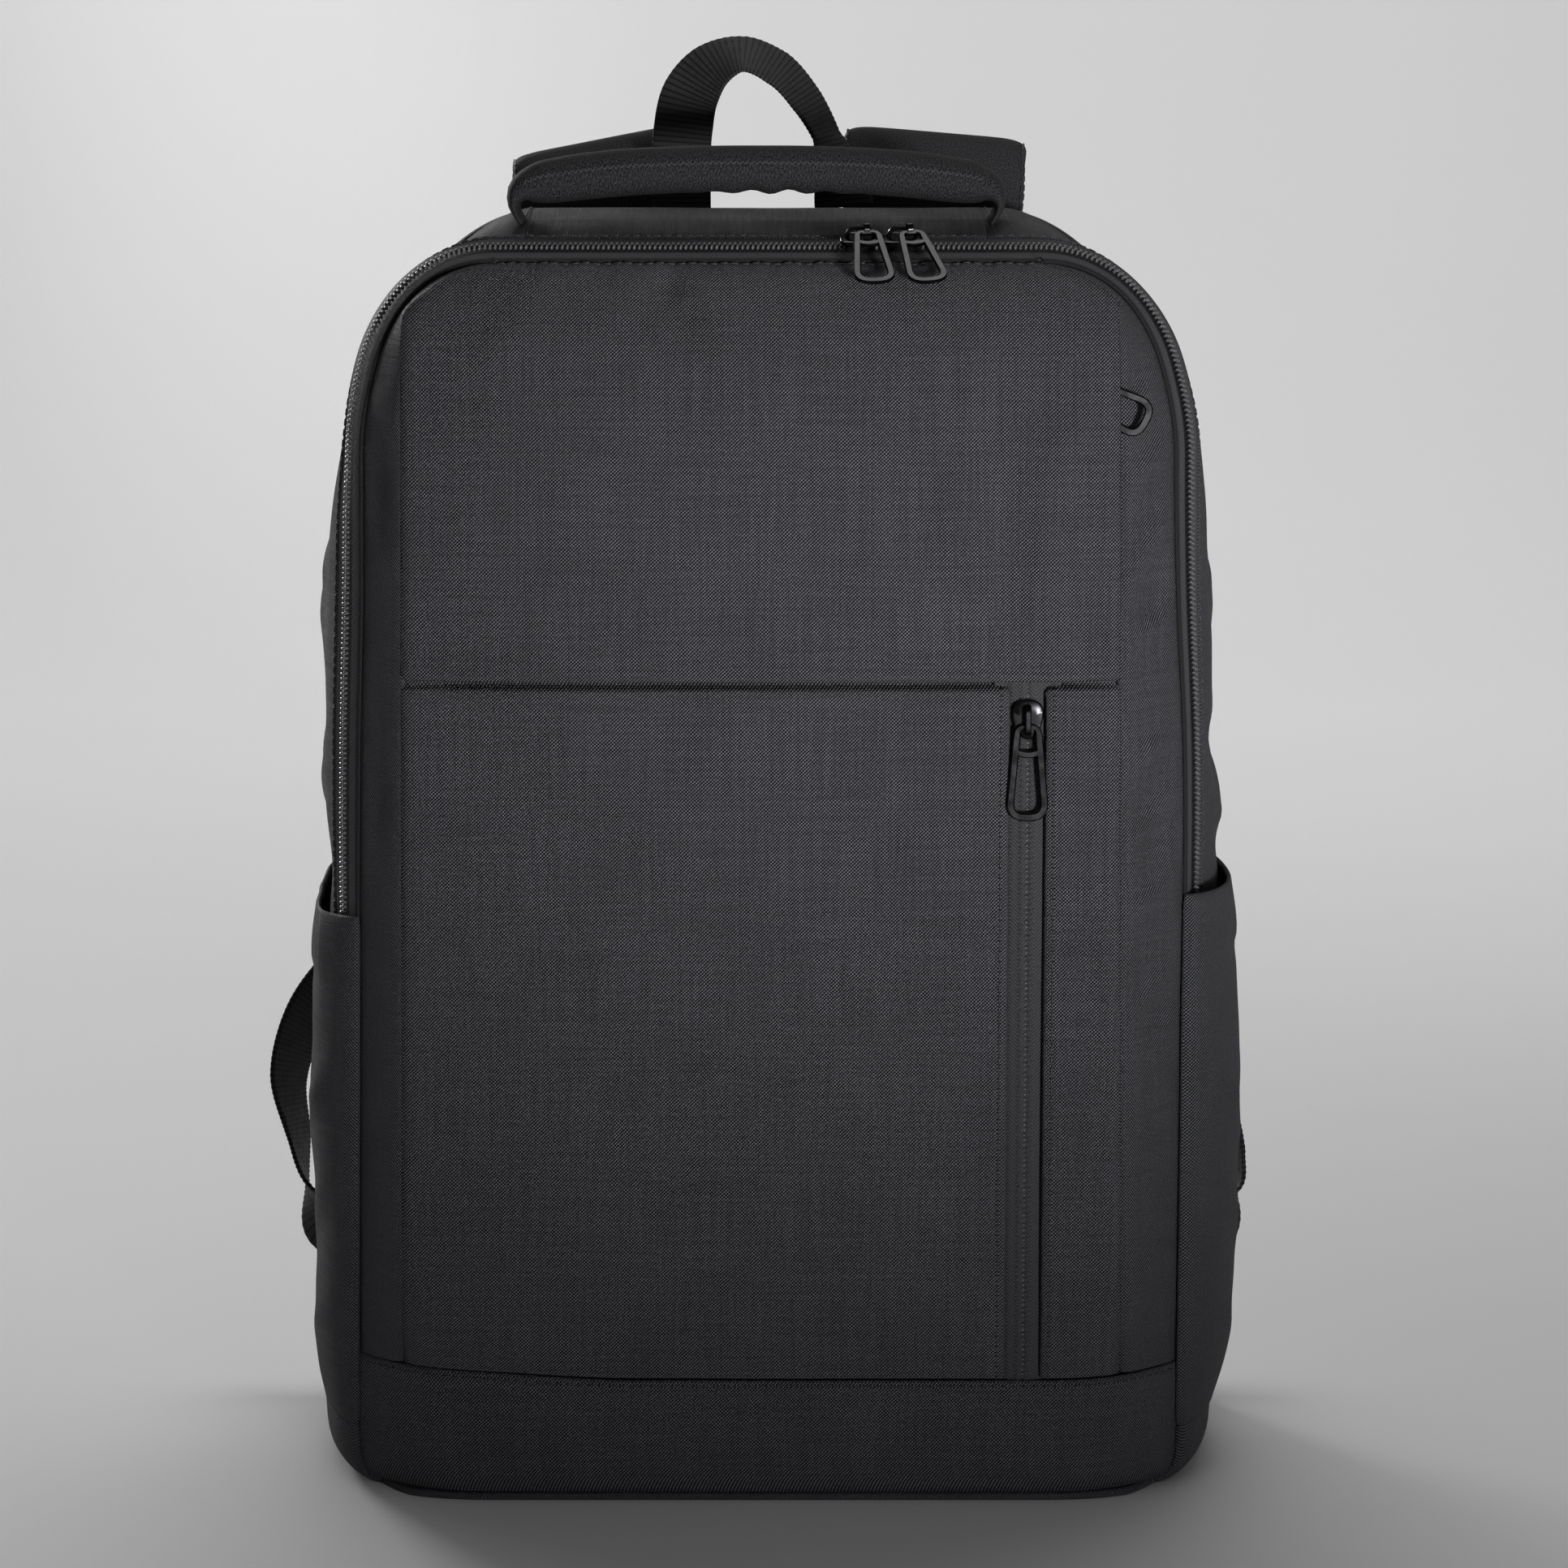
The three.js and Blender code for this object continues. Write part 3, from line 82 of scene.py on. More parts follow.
# The front lid: its crease, lip and tuck, the slanted strips, and the way in behind the band
FRONT_DEPTH = 21.0
FRONT_SHIFT = -2.0
FRONT_CROWN = 2.0
CROWN_RISE = 70.0
ROLL_POWER = 2.2
FINE_REACH = 6.0
FINE_STEP = 0.5
CREASE = Sizes(half_low=118.0, half_top=113.6, least_facet=3.0, deep=1.5, reach=3.4, held=14.0)
CORNER_EASE = (2.0, 20.0)
LID_POINTS = Sizes(straight=60, roll=500)
LIP = Sizes(out=2.8, fade=9.0, roll=1.6, reach=2.6)
TUCK = Sizes(deep=4.6, above=3.4, below=1.0)
FACET = Sizes(cell=0.8, tuck=1.9, tuck_reach=3.0, dip=1.6, dip_reach=3.2, roll=6.0)
SLIT = Sizes(deep=4.4, low=290.0, high=392.0, ease=30.0)
BEHIND = Sizes(deep=4.4, below=0.2, above=1.3, overlap=2.6, ease=22.0)
LIFT = Sizes(high=3.3, from_x=40.0, to_x=112.0, fade=13.0)

# Ripples along a seam (wave, height, reach), how they swell and wander, and how uneven each cloth is
TOP_PUCKER = (11.0, 0.5, 7.0)
BAND_PUCKER = (13.0, 0.25, 6.0)
RIPPLE = Sizes(least=0.6, more=0.4, first=23.0, second=41.0, wander=0.8, wander_wave=17.0)
UNEVEN = Sizes(front=0.32, facet=0.4, band=0.35, side=0.6, top=0.4, pocket=0.5, handle=0.35)
UNEVEN_WAVES = (95.0, 62.0, 44.0, 30.0, 21.0, 15.0)

# Arch outlines seen from the front
LID = dict(half=135.5, top=405.0, corner_x=48.0, corner_z=62.0, power=2.0)
TAPE_FRONT = dict(half=136.3, top=406.0, corner_x=47.9, corner_z=63.5, power=2.0)
TAPE_BACK = dict(half=142.0, top=411.2, corner_x=55.8, corner_z=69.0, power=2.0)
BACK = dict(half=143.0, top=413.0, corner_x=63.0, corner_z=100.0, power=1.8)

# The side and top walls at stations from the zip to the back seam
GUSSET_Y = [-33.2, -22, -6, 14, 34, 48, 56.6]
GUSSET = dict(
    half=[142.4, 146, 148.2, 149.4, 148.2, 145.6, 142.6],
    top=[411.6, 414, 415.8, 416.6, 416, 414.6, 412.4],
    corner_x=[56.8, 64.4, 68.2, 70, 69, 66, 63],
    corner_z=[70, 94, 114, 121, 120, 110, 100],
    power=[2, 1.82, 1.66, 1.58, 1.6, 1.7, 1.8],
)
# How far the zip seams and the side walls lie inside their plain outlines at some heights
LEAN_Z = [41, 150, 250, 300, 322, 350, 366, 380, 400, 414]
LEAN = dict(
    left=dict(seam=[0, 1.7, 3.4, 5, 5.2, 5.4, 5.2, 3.6, 1, 0],
              wall=[0, 0, 0.6, 2.2, 3, 5, 4.2, 2.7, 0.8, 0]),
    right=dict(seam=[0, 0, 0.6, 3.4, 4.2, 4.6, 4.4, 3, 0.8, 0],
               wall=[0, 0, 0.2, 1.9, 2.2, 2.4, 2.4, 1.4, 0.5, 0]),
)
WALL = Sizes(deep=90.0, side=280.0, corner=150.0, top_rows=3)
LEAN_ENDS_Y = 20.0
LEAN_EASE_X = (70.0, 125.0)

# Dents: place across and up, depth, and spread across and up
SIDE_DENTS = dict(
    left=((12, 92, 7.5, 50, 54), (10, 172, 3.8, 50, 30), (10, 203, 6, 50, 12), (6, 256, 1.8, 34, 14),
          (-8, 322, 2, 24, 22)),
    right=((12, 92, 7.5, 50, 54), (10, 172, 0.6, 50, 28), (10, 192, -3, 50, 14), (4, 243, 2.6, 34, 13),
           (4, 221, -2.6, 34, 11), (-8, 318, 2, 24, 22)),
)
FRONT_DENTS = ((-32, 394, 4.4, 9, 12), (-60, 398, 2.2, 13, 9), (20, 392, 1.4, 18, 12),
               (74, 320, 1.9, 10, 46), (-85, 305, 1, 16, 40), (-20, 150, 1.2, 60, 40))
FACET_DENTS = ((124, 300, 3.4, 9, 16), (125, 225, 3.6, 9, 12), (124, 166, 3.8, 10, 9),
               (-127, 335, 3.2, 9, 18), (-127, 240, 2.8, 9, 20))

# Folds: both ends across and up, how far it stands out, and how wide it fades
FRONT_FOLDS = (
    (-44, 404, -26, 372, 2.2, 4.5), (-20, 404, -38, 380, 1.4, 3.5), (-70, 402, -92, 372, 1.2, 6),
    (40, 402, 62, 366, 1.2, 6), (64, 366, 70, 276, 1.5, 6), (92, 352, 88, 284, 1.4, 6),
    (108, 372, 84, 330, 1.2, 7), (-104, 350, -96, 290, 0.8, 8), (-20, 276, -80, 300, 0.8, 9),
)
LOWER_FOLDS = (
    (-40, 262, 30, 206, 0.8, 14), (60, 180, -30, 96, 0.7, 16), (-100, 130, -64, 60, 0.7, 12),
)
FACET_FOLDS = (
    (113, 351, 131, 377, 3, 4), (113, 333, 134, 352, 2.7, 4), (114, 300, 134, 330, 3.2, 4.5),
    (114, 284, 133, 292, 2.6, 4), (116, 244, 134, 254, 3, 3.6), (114, 216, 134, 236, 3.6, 4),
    (115, 196, 134, 204, 2.6, 3.4), (114, 158, 133, 176, 3.9, 4), (115, 64, 133, 86, 2.3, 5),
    (-114, 352, -134, 372, 2, 5), (-116, 318, -134, 300, 1.6, 5), (-116, 236, -135, 252, 1.9, 5),
    (-117, 120, -135, 100, 1.4, 6),
)
SIDE_FOLDS = (
    (-28, 352, 26, 300, 1.5, 6), (-24, 322, 40, 262, 1.2, 6), (-26, 262, 22, 232, 1.3, 5),
    (46, 352, 10, 268, 1.1, 7), (50, 246, 4, 212, 1.2, 5.5), (-20, 224, 34, 206, 1, 4),
)
SIDE_FOLD_MIDDLE = 12.0
POCKET_FOLDS = (
    (-50, 148, -14, 112, 2.9, 5), (-48, 122, -10, 132, 2, 6), (-46, 104, 0, 70, 2.4, 6),
    (20, 168, 44, 110, 2.2, 7), (48, 100, 10, 48, 2, 7), (-44, 60, -8, 40, 1.5, 5),
)

# The bottom band and the floor of the bag
BAND_Z = [3, 7, 16, 28, 37, 41]
BAND_OUT = [-1.6, 0.8, 2.2, 2, 0.8, 0.2]
BAND_END_IN = [2.4, 1, 0.2, 0, 0, 0]
BAND = Sizes(low=3.0, half=136.8, bend_half=88.0, end_y=-49.5, power=2.6, roll=0.4, roll_reach=2.6,
             columns=121)
BASE_X = [0, 84, 104, 118, 128, 135, 142, 147, 149.6, 150.4]
BASE_Z = [0, 0, 0, 0, 0, 0, 1.2, 4.6, 10, 20]
BASE = Sizes(front_y=-70.8, flange_y=-52.2, flat_half=118.0, flange_half=150.4, rows=70, columns=41)

# The side pockets
POCKET = Sizes(low=20.8, front_y=-52.6, back_y=55.6, front_half=135.9, back_half=145.4, power=0.55,
               columns=52, tall=172.0, slack=0.55, free_power=0.6)
POCKET_AT = [0, 0.06, 0.2, 0.36, 0.52, 0.68, 0.84, 0.93, 1]
POCKET_HALF = dict(
    left=[150.4, 152.6, 153.4, 152.4, 154, 153.2, 152.8, 152.4, 150.8],
    right=[151.6, 155.2, 157.6, 158.4, 159.2, 158.6, 157, 156.2, 154.4],
)
MOUTH = dict(left=Sizes(front=191.5, back=194.5, sag=4.5), right=Sizes(front=199.0, back=196.5, sag=1.5))
HEM = Sizes(tall=20.0, above=4.0, below=10.0, dip=3.2, proud=0.45, edge=0.6)

# The padded back, the handle and the straps
PAD = Sizes(rim=8.0, swell=3.6, low=2.8, low_round=24.0, edge=1.2, rows=76, columns=61)
FOOT_LEFT = -78.0
FOOT_RIGHT = 71.0
HANDLE = dict(
    along=[0, 0.36, 0.66, 0.86, 0.96, 1.035, 1.058, 1.045, 1.02],
    z=[432.4, 432, 430.6, 428.8, 427.6, 425.2, 421.8, 418, 415.2],
    tall=[15, 15, 15, 14.4, 13, 8.4, 4.6, 3, 2.6],
)
GRIP = Sizes(step=2.0, y=-14.0, deep=20.0, around=40, flat=2.3, square=2.2, wave=0.8, wave_x=4.0,
             wave_reach=20.0, wave_long=1.95, body=(5.0, 13.0), loose=0.04, map_wide=12.0, ends=7, seam=18)
LOOP = dict(
    x=[-29.4, -29.4, -28.8, -26.2, -19.6, -9, 3, 13, 19.8, 24.6, 25.8],
    y=[61, 62, 63.6, 65, 66, 66.4, 66, 65, 63.6, 61.6, 61],
    z=[413.9, 425, 440, 452, 461, 465.4, 460.8, 450, 438, 424.5, 414.2],
    across_x=[1, 1, 1, 0.9, 0.5, 0, -0.3, -0.4, -0.45, -0.85, -1],
    across_y=[0, 0, 0.05, -0.3, -0.65, -0.85, -0.85, -0.9, -0.9, -0.5, 0],
    across_z=[0, 0, 0, -0.35, -0.6, -0.52, -0.45, -0.3, 0, 0, 0],
)
LOOP_WIDTH = 20.0
WEBBING_WIDTH = 25.0
WEBBING_THICK = 1.7
WEBBING_SECTION = (20, 14.0, 5.0)
RIB = Sizes(pitch=1.7, high=0.16, step=0.42)
STRAP = dict(
    x=[56, 56, 56, 56.2, 56.6, 57.4, 58.4, 60, 64, 71, 82, 95, 103, 106.4],
    y=[73.6, 74.3, 74, 76.4, 84.4, 95.4, 103.6, 108, 110.5, 110, 106.5, 102, 99.4, 98.4],
    z=[366, 385, 404, 421, 432.4, 432, 421, 400, 362, 316, 268, 226, 203, 193],
    wide=[58, 62, 62, 62, 62, 62, 62, 62, 62, 62, 60, 52, 40, 30],
    thick=[7, 8.6, 9, 9, 9, 9, 9, 9, 9.4, 9.4, 9, 8, 5.4, 3.4],
)
STRAP_TILT = dict(left=-0.2, right=-0.08)
STRAP_LOWER = dict(left=2.4, right=0.0)
STRAP_STEP = 5.0
STRAP_SECTION = (28, 7.0, 2.6)
STRAP_END = 5.0
STRAP_MAP_HALF = 31.0
STRAP_SEAMS = (2, 12, 16, 26)
PAD_SEAMS = (7.0, 9.4)
LOCK_LONG = 22.0
LOCK_TAIL = 7.0
WEBBING = dict(
    left=dict(
        x=[127, 148, 163, 169, 165.6, 162.4, 155, 148],
        y=[94, 88.5, 82, 76.5, 72, 67.6, 64.6, 63],
        z=[158, 144, 127, 108, 88, 71, 58.4, 56],
        across_x=[-0.8, -0.6, -0.5, -0.4, -0.2, 0, 0.3, 0.415],
        across_y=[0.25, 0.55, 0.75, 0.85, 0.95, 0.85, 0.3, 0],
        across_z=[-0.6, -0.7, -0.5, -0.2, -0.1, -0.45, -0.9, -0.91],
    ),
    right=dict(
        x=[124, 141, 152, 158.6, 163, 164.4, 157, 149],
        y=[94.6, 90, 84.4, 78, 71.6, 67.4, 64.6, 63],
        z=[160, 139, 116, 96, 80, 67.4, 58.6, 56],
        across_x=[-0.8, -0.65, -0.5, -0.45, -0.3, 0, 0.3, 0.415],
        across_y=[0.25, 0.5, 0.75, 0.85, 0.9, 0.8, 0.3, 0],
        across_z=[-0.55, -0.55, -0.4, -0.2, -0.2, -0.5, -0.9, -0.91],
    ),
)
TAB = Sizes(x=[140.5, 140.5, 142.0, 150.6], z=[20.0, 58.0, 66.6, 43.8], y=61.3, thick=3.4, rim=0.2,
            rows=19, columns=9)

# Stitches and coil turns: places of their rings along them, sizes, and drops
ROUND = np.arange(6) * np.pi / 3
STITCH_ALONG = np.array([-0.5, -0.38, 0.38, 0.5])
STITCH_SIZE = np.array([0.45, 1.0, 1.0, 0.45])
STITCH_DROP = np.array([-0.5, 0.0, 0.0, -0.5])
STITCH_LIFT = 0.08
STITCH_START = 0.3
HANDLE_THREAD = 0.55
SEAM_IN = Sizes(zip=1.8, window=2.0, band=1.6, foot=1.6)
BEAD_ALONG = np.array([-1.0, -0.72, 0.0, 0.72, 1.0])
BEAD_SIZE = np.array([0.35, 0.86, 1.0, 0.86, 0.35])

# Zips, sliders and pulls
TAPE_SUNK = Sizes(deep=1.2, low=22.0, high=8.0)
TAPE_CELLS = (13, 420)
TAPE_POINTS = dict(side_rows=120, corner_rows=120, top_rows=40)
TWILL = (0.0012, 0.0026)
COIL_REACH = 4.0
COIL = Sizes(low=184.0, tall=2.3, clear=0.35, aside=1.1, rise=0.75, slant=0.3, turn=(1.9, 1.0, 1.6))
SLIDER = Sizes(long=13.0, wide=9.6, plate=1.6)
FLANGE = Sizes(end=1.6, inset=0.95, slope=0.06, drop=0.75, wide=1.2, tall=2.2, cut=0.3)
BAIL = Sizes(leg_x=3.7, rise=3.1, splay=0.8, wide=2.0, thick=1.25, round=2.4)
BAIL_SUNK = 0.5
MAIN_SLIDERS = dict(left=Sizes(x=29.8, pull_x=2.0, lean=5.0), right=Sizes(x=43.2, pull_x=2.2, lean=12.0))
MAIN_PULL_DROP = 30.0
FRONT_ZIP = Sizes(x=83.4, window=13.0, tape_wide=21.0, tape_y=-70.5, coil_tall=1.5, coil_in=1.0,
                  coil_top=267.6, slider_z=261.0, pull_drop=2.0, pull_rise=1.2, columns=43, rows=180)
FRONT_RIDGES = ((0.9, 6.0, 8), (0.35, 2.7, 6), (-0.55, 0.5, 2))
FRONT_RIBS = Sizes(aside=1.6, rise=1.2, slant=0.35, turn=(1.7, 0.7, 0.6))
FRONT_COIL = Sizes(rise=1.0, turn=(1.0, 0.85, 0.9))
ARCH = Sizes(half=4.7, leg=1.4, splay=0.4, wide=2.0, clear=2.4, crown=1.4, round=1.3)
PULL = Sizes(long=31.5, eye_long=28.8, top_wide=8.8, foot_wide=14.3, thick=1.4, top_round=2.2,
             foot_round=5.2, window=6.6, bow=1.1, bow_rise=0.6, bar_share=0.92)
PULL_FRAME = Sizes(top=1.7, rail=2.4, foot=2.6, bar=1.6, cross=2.3, cut=0.4, foot_ease=5.0, top_ease=3.0)
EYE = Sizes(outer=2.0, inner=1.35, wide=2.0, drop=2.0, hang=0.65, window=3.8, cut=0.22)
SIDE_PULL = Sizes(tip_x=121.2, y=-69.9, z=356.0, turn=26.0, foot_round=5.0)
MAIN_PLATE = (2.8, 0.16)
FRONT_PLATE = (2.3, -0.26)
PLATE_SUNK = 0.4
PLATE_POINTS = 56
PULL_STEP = 0.55
BAIL_STEP = 0.4
PLATE_SIZE = np.array([0.02, 0.92, 1.0, 1.0, 0.97, 0.9, 0.5, 0.02])
PLATE_LEVEL = np.array([0.0, 0.0, 0.14, 0.66, 0.86, 0.97, 1.0, 1.0])
X_WAY, Y_WAY, Z_WAY = np.eye(3)

# The floor's run back and up, in millimetres
FLOOR = Sizes(half=4000.0, flat_to=1500.0, round=900.0, rows=24)


class BackpackCloth(PropertyGroup):
    """Sizes and colours of the woven cloth."""
    weave: FloatProperty(name="Weave", description="Width of two yarns of the cloth", default=0.00114,
                         unit="LENGTH", precision=5)
    cell: FloatProperty(name="Grid", description="Distance between points of a cloth panel", default=0.0026,
                        unit="LENGTH", precision=4)
    front_light: FloatVectorProperty(name="Front warp", description="Yarn that shows light on the front",
                                     default=(0.092, 0.092, 0.102), subtype="COLOR")
    front_dark: FloatVectorProperty(name="Front weft", description="Yarn that shows dark on the front",
                                    default=(0.0035, 0.0035, 0.0045), subtype="COLOR")
    # The side cloth is the front cloth made a little darker: painted shade on the strips, walls, top,
    # floor, pockets and tabs beside and below the front.
    side_light: FloatVectorProperty(name="Side warp", description="Yarn that shows light on the sides",
                                    default=(0.088, 0.088, 0.098), subtype="COLOR")
    side_dark: FloatVectorProperty(name="Side weft", description="Yarn that shows dark on the sides",
                                   default=(0.0035, 0.0035, 0.0045), subtype="COLOR")
    pad_light: FloatVectorProperty(name="Pad warp", description="Yarn that shows light on the back",
                                   default=(0.05, 0.05, 0.055), subtype="COLOR")
    pad_dark: FloatVectorProperty(name="Pad weft", description="Yarn that shows dark on the back",
                                  default=(0.004, 0.004, 0.005), subtype="COLOR")
    webbing: FloatVectorProperty(name="Webbing", description="Colour of the webbing",
                                 default=(0.013, 0.013, 0.0142), subtype="COLOR")
    tape: FloatVectorProperty(name="Zip tape", description="Colour of the zip tape",
                              default=(0.05, 0.05, 0.055), subtype="COLOR")
    front_tape: FloatVectorProperty(name="Front zip tape", description="Colour of the front zip's tape",
                                    default=(0.03, 0.03, 0.033), subtype="COLOR")
    handle: FloatVectorProperty(name="Handle", description="Colour of the carry handle's cover",
                                default=(0.014, 0.014, 0.0152), subtype="COLOR")
    strap: FloatVectorProperty(name="Straps", description="Colour of the shoulder straps' cover",
                               default=(0.018, 0.018, 0.0195), subtype="COLOR")


class BackpackStitch(PropertyGroup):
    """Sizes and colours of the sewing thread."""
    length: FloatProperty(name="Length", description="Length of one stitch", default=0.0026,
                          unit="LENGTH", precision=4)
    gap: FloatProperty(name="Gap", description="Space between two stitches", default=0.0008,
                       unit="LENGTH", precision=4)
    width: FloatProperty(name="Thread", description="Thickness of the thread", default=0.0006,
                         unit="LENGTH", precision=4)
    zigzag: FloatProperty(name="Zigzag", description="Length of one zigzag of the handle's seam",
                          default=0.0019, unit="LENGTH", precision=4)
    high: FloatProperty(name="Height", description="Height of one zigzag of the handle's seam",
                        default=0.0011, unit="LENGTH", precision=4)
    colour: FloatVectorProperty(name="Colour", description="Colour of the thread",
                                default=(0.007, 0.007, 0.008), subtype="COLOR")
    handle: FloatVectorProperty(name="Handle's thread",
                                description="Colour of the thread of the handle's seam",
                                default=(0.03, 0.03, 0.033), subtype="COLOR")


class BackpackZip(PropertyGroup):
    """Sizes and colours of the zips, their metal and the strap adjusters."""
    coil: FloatProperty(name="Coil pitch", description="Distance between two turns of the main coil",
                        default=0.00165, unit="LENGTH", precision=5)
    back_coil: FloatProperty(name="Front coil pitch",
                             description="Distance between two turns of the front coil",
                             default=0.00168, unit="LENGTH", precision=5)
    coil_colour: FloatVectorProperty(name="Coil colour", description="Colour of the coils",
                                     default=(0.062, 0.062, 0.066), subtype="COLOR")
    metal_colour: FloatVectorProperty(name="Metal colour", description="Colour of sliders and pulls",
                                      default=(0.019, 0.019, 0.02), subtype="COLOR")
    metal_rough: FloatProperty(name="Metal roughness", description="Roughness of sliders and pulls",
                               default=0.24, min=0.0, max=1.0, subtype="FACTOR")
    plastic: FloatVectorProperty(name="Adjusters", description="Colour of the strap adjusters",
                                 default=(0.014, 0.014, 0.015), subtype="COLOR")


class BackpackPads(PropertyGroup):
    """How the padded pieces swell."""
    pressure: FloatProperty(name="Pressure", description="Pressure that swells the pads", default=4.0)
    frames: IntProperty(name="Frames", description="Steps that the pads swell for", default=20)
    most: FloatProperty(name="Most", description="How far a point of a pad may move", default=0.0022,
                        unit="LENGTH", precision=4)


class BackpackStage(PropertyGroup):
    """Floor, light and camera."""
    floor: FloatVectorProperty(name="Floor", description="Colour of the floor", default=(0.88, 0.88, 0.88),
                               subtype="COLOR")
    key: FloatProperty(name="Key", description="Power of the light at the front right", default=0.98,
                       unit="POWER")
    fill: FloatProperty(name="Fill", description="Power of the light at the front left", default=1.6,
                        unit="POWER")
    rear: FloatProperty(name="Rear", description="Power of the light on the backdrop", default=36.0,
                        unit="POWER")
    rim: FloatProperty(name="Rim", description="Power of the light behind the left side", default=0.7,
                       unit="POWER")
    room: FloatProperty(name="Room", description="Strength of the light from all round", default=0.09)
    aim: FloatVectorProperty(name="Aim", description="Point that the camera looks at",
                             default=(0.0054, 0.0, 0.2265), subtype="TRANSLATION", unit="LENGTH")
    distance: FloatProperty(name="Distance", description="Camera's distance from the bag", default=1.8,
                            unit="LENGTH")
    elevation: FloatProperty(name="Elevation", description="Camera's height angle",
                             default=float(np.radians(10.5)), unit="ROTATION")
    lens: FloatProperty(name="Lens", description="Camera's focal length", default=123.6, unit="CAMERA")


# Lines and tables


def ramp(x, low, high):
    """Smooth step from 0 at low to 1 at high: 3t squared less 2t cubed."""
    t = np.clip((x - low) / (high - low), 0.0, 1.0)
    return t * t * (3.0 - 2.0 * t)


def smooth_table(x, knots, values):
    """Reads a table between its knots: one cubic a span, with each knot's slope taken from its
    neighbours."""
    knots = np.asarray(knots, float)
    values = np.asarray(values, float)
    slopes = np.gradient(values, knots)
    k = np.clip(np.searchsorted(knots, x, side="right") - 1, 0, len(knots) - 2)
    span = knots[k + 1] - knots[k]
    t = np.clip((x - knots[k]) / span, 0.0, 1.0)
    start = (1 + 2 * t) * (1 - t) ** 2 * values[k] + t * (1 - t) ** 2 * span * slopes[k]
    end = t * t * (3 - 2 * t) * values[k + 1] + t * t * (t - 1) * span * slopes[k + 1]
    return start + end


def share_of(value, low, high):
    """How far a value is from low to high, kept between 0 and 1."""
    return np.clip((value - low) / (high - low), 0, 1)


def eased(count):
    """Places from 0 to 1, closer at both ends: half of one less the cosine."""
    return 0.5 - 0.5 * np.cos(np.pi * np.linspace(0, 1, count))


def stacked(*parts):
    """Coordinates whose shapes go together, as one array of points or map places."""
    return np.stack(np.broadcast_arrays(*parts), axis=-1)


def run_of(line):
    """Distance along a line of points: the running sum of its steps."""
    return np.concatenate([[0.0], np.cumsum(np.linalg.norm(np.diff(line, axis=0), axis=1))])


def run_over(a, b, axis):
    """Distance over a grid along one axis, from two of its coordinates."""
    steps = np.hypot(np.diff(a, axis=axis), np.diff(b, axis=axis))
    return np.insert(np.cumsum(steps, axis=axis), 0, 0.0, axis=axis)


def read_at(at, run, rows):
    """Rows of numbers read off at places along a run, column by column."""
    return np.stack([np.interp(at, run, rows[:, k]) for k in range(rows.shape[1])], axis=1)


def evenly(line, count):
    """The same line through a number of even places along it."""
    run = run_of(line)
    return read_at(np.linspace(0.0, run[-1], count), run, line)


def even_steps(line, step):
    """The same line in even steps of about a length."""
    return evenly(line, max(int(round(run_of(line)[-1] / step)), 2) + 1)


def unit(vectors):
    """Vectors of length one."""
    return vectors / np.maximum(np.linalg.norm(vectors, axis=-1, keepdims=True), 1e-9)


def squared_to(way, vectors):
    """Unit vectors made square to a way by taking their share along it off."""
    return unit(vectors - way * (vectors * way).sum(axis=-1, keepdims=True))


def half_width(outline, z):
    """Half width of an arch outline at a height: straight below, and a superellipse round the corner."""
    rise = share_of(z, outline["top"] - outline["corner_z"], outline["top"])
    power = outline["power"]
    return outline["half"] - outline["corner_x"] * (1 - (1 - rise ** power) ** (1 / power))


def arch_line(outline, low, side_rows, corner_rows, end_x, top_rows):
    """One half of an arch as x and z, a column for each outline: up the side, round a superellipse corner,
    along the top to end_x."""
    side = np.linspace(0.0, 1.0, side_rows, endpoint=False)[:, None]
    angle = np.linspace(0.0, np.pi / 2, corner_rows, endpoint=False)[:, None]
    top = np.linspace(0.0, 1.0, top_rows + 1)[:, None]
    inner = outline["half"] - outline["corner_x"]
    shoulder = outline["top"] - outline["corner_z"]
    power = 2.0 / outline["power"]
    x = np.concatenate([
        outline["half"] + 0.0 * side,
        inner + outline["corner_x"] * np.cos(angle) ** power,
        inner + (end_x - inner) * top,
    ])
    z = np.concatenate([
        low + (shoulder - low) * side,
        shoulder + outline["corner_z"] * np.sin(angle) ** power,
        outline["top"] + 0.0 * top,
    ])
    return x, z


def tape_outline(y):
    """The zip's outline at a depth, part of the way between those of the tape's two edges."""
    at = (y - TAPE_FRONT_Y) / (TAPE_BACK_Y - TAPE_FRONT_Y)
    return {key: TAPE_FRONT[key] + (TAPE_BACK[key] - TAPE_FRONT[key]) * at for key in TAPE_FRONT}


def dents(table, x, z):
    """Sum of bell-shaped dents, each depth times e to the minus of the squared distances over its
    spreads."""
    total = np.zeros(np.broadcast(x, z).shape)
    for at_x, at_z, depth, spread_x, spread_z in table:
        total += depth * np.exp(-((x - at_x) / spread_x) ** 2 - ((z - at_z) / spread_z) ** 2)
    return total


def folds(table, x, z):
    """Sum of soft ridges: a bell across each line from its first to its second end, fading out at both."""
    total = np.zeros(np.broadcast(x, z).shape)
    for x0, z0, x1, z1, high, wide in table:
        along = np.array([x1 - x0, z1 - z0], float)
        length = np.hypot(*along)
        along /= length
        dx, dz = x - x0, z - z0
        t = np.clip((dx * along[0] + dz * along[1]) / length, 0.0, 1.0)
        away = np.hypot(dx - t * length * along[0], dz - t * length * along[1])
        total += high * np.exp(-(away / wide) ** 2) * (0.25 + 0.75 * np.sin(np.pi * np.clip(t, 0.05, 0.95)))
    return total


def uneven(u, v, seed, high):
    """Gentle unevenness of cloth: a sum of long waves whose ways and phases come from a fixed seed."""
    random = np.random.default_rng(seed)
    total = np.zeros(np.broadcast(u, v).shape)
    for wave in UNEVEN_WAVES:
        way = random.uniform(0, np.pi)
        phase = random.uniform(0, 2 * np.pi)
        turn = 2 * np.pi * (u * np.cos(way) + v * np.sin(way)) / wave
        total += wave / UNEVEN_WAVES[0] * np.sin(turn + phase)
    return high * total / 2.0


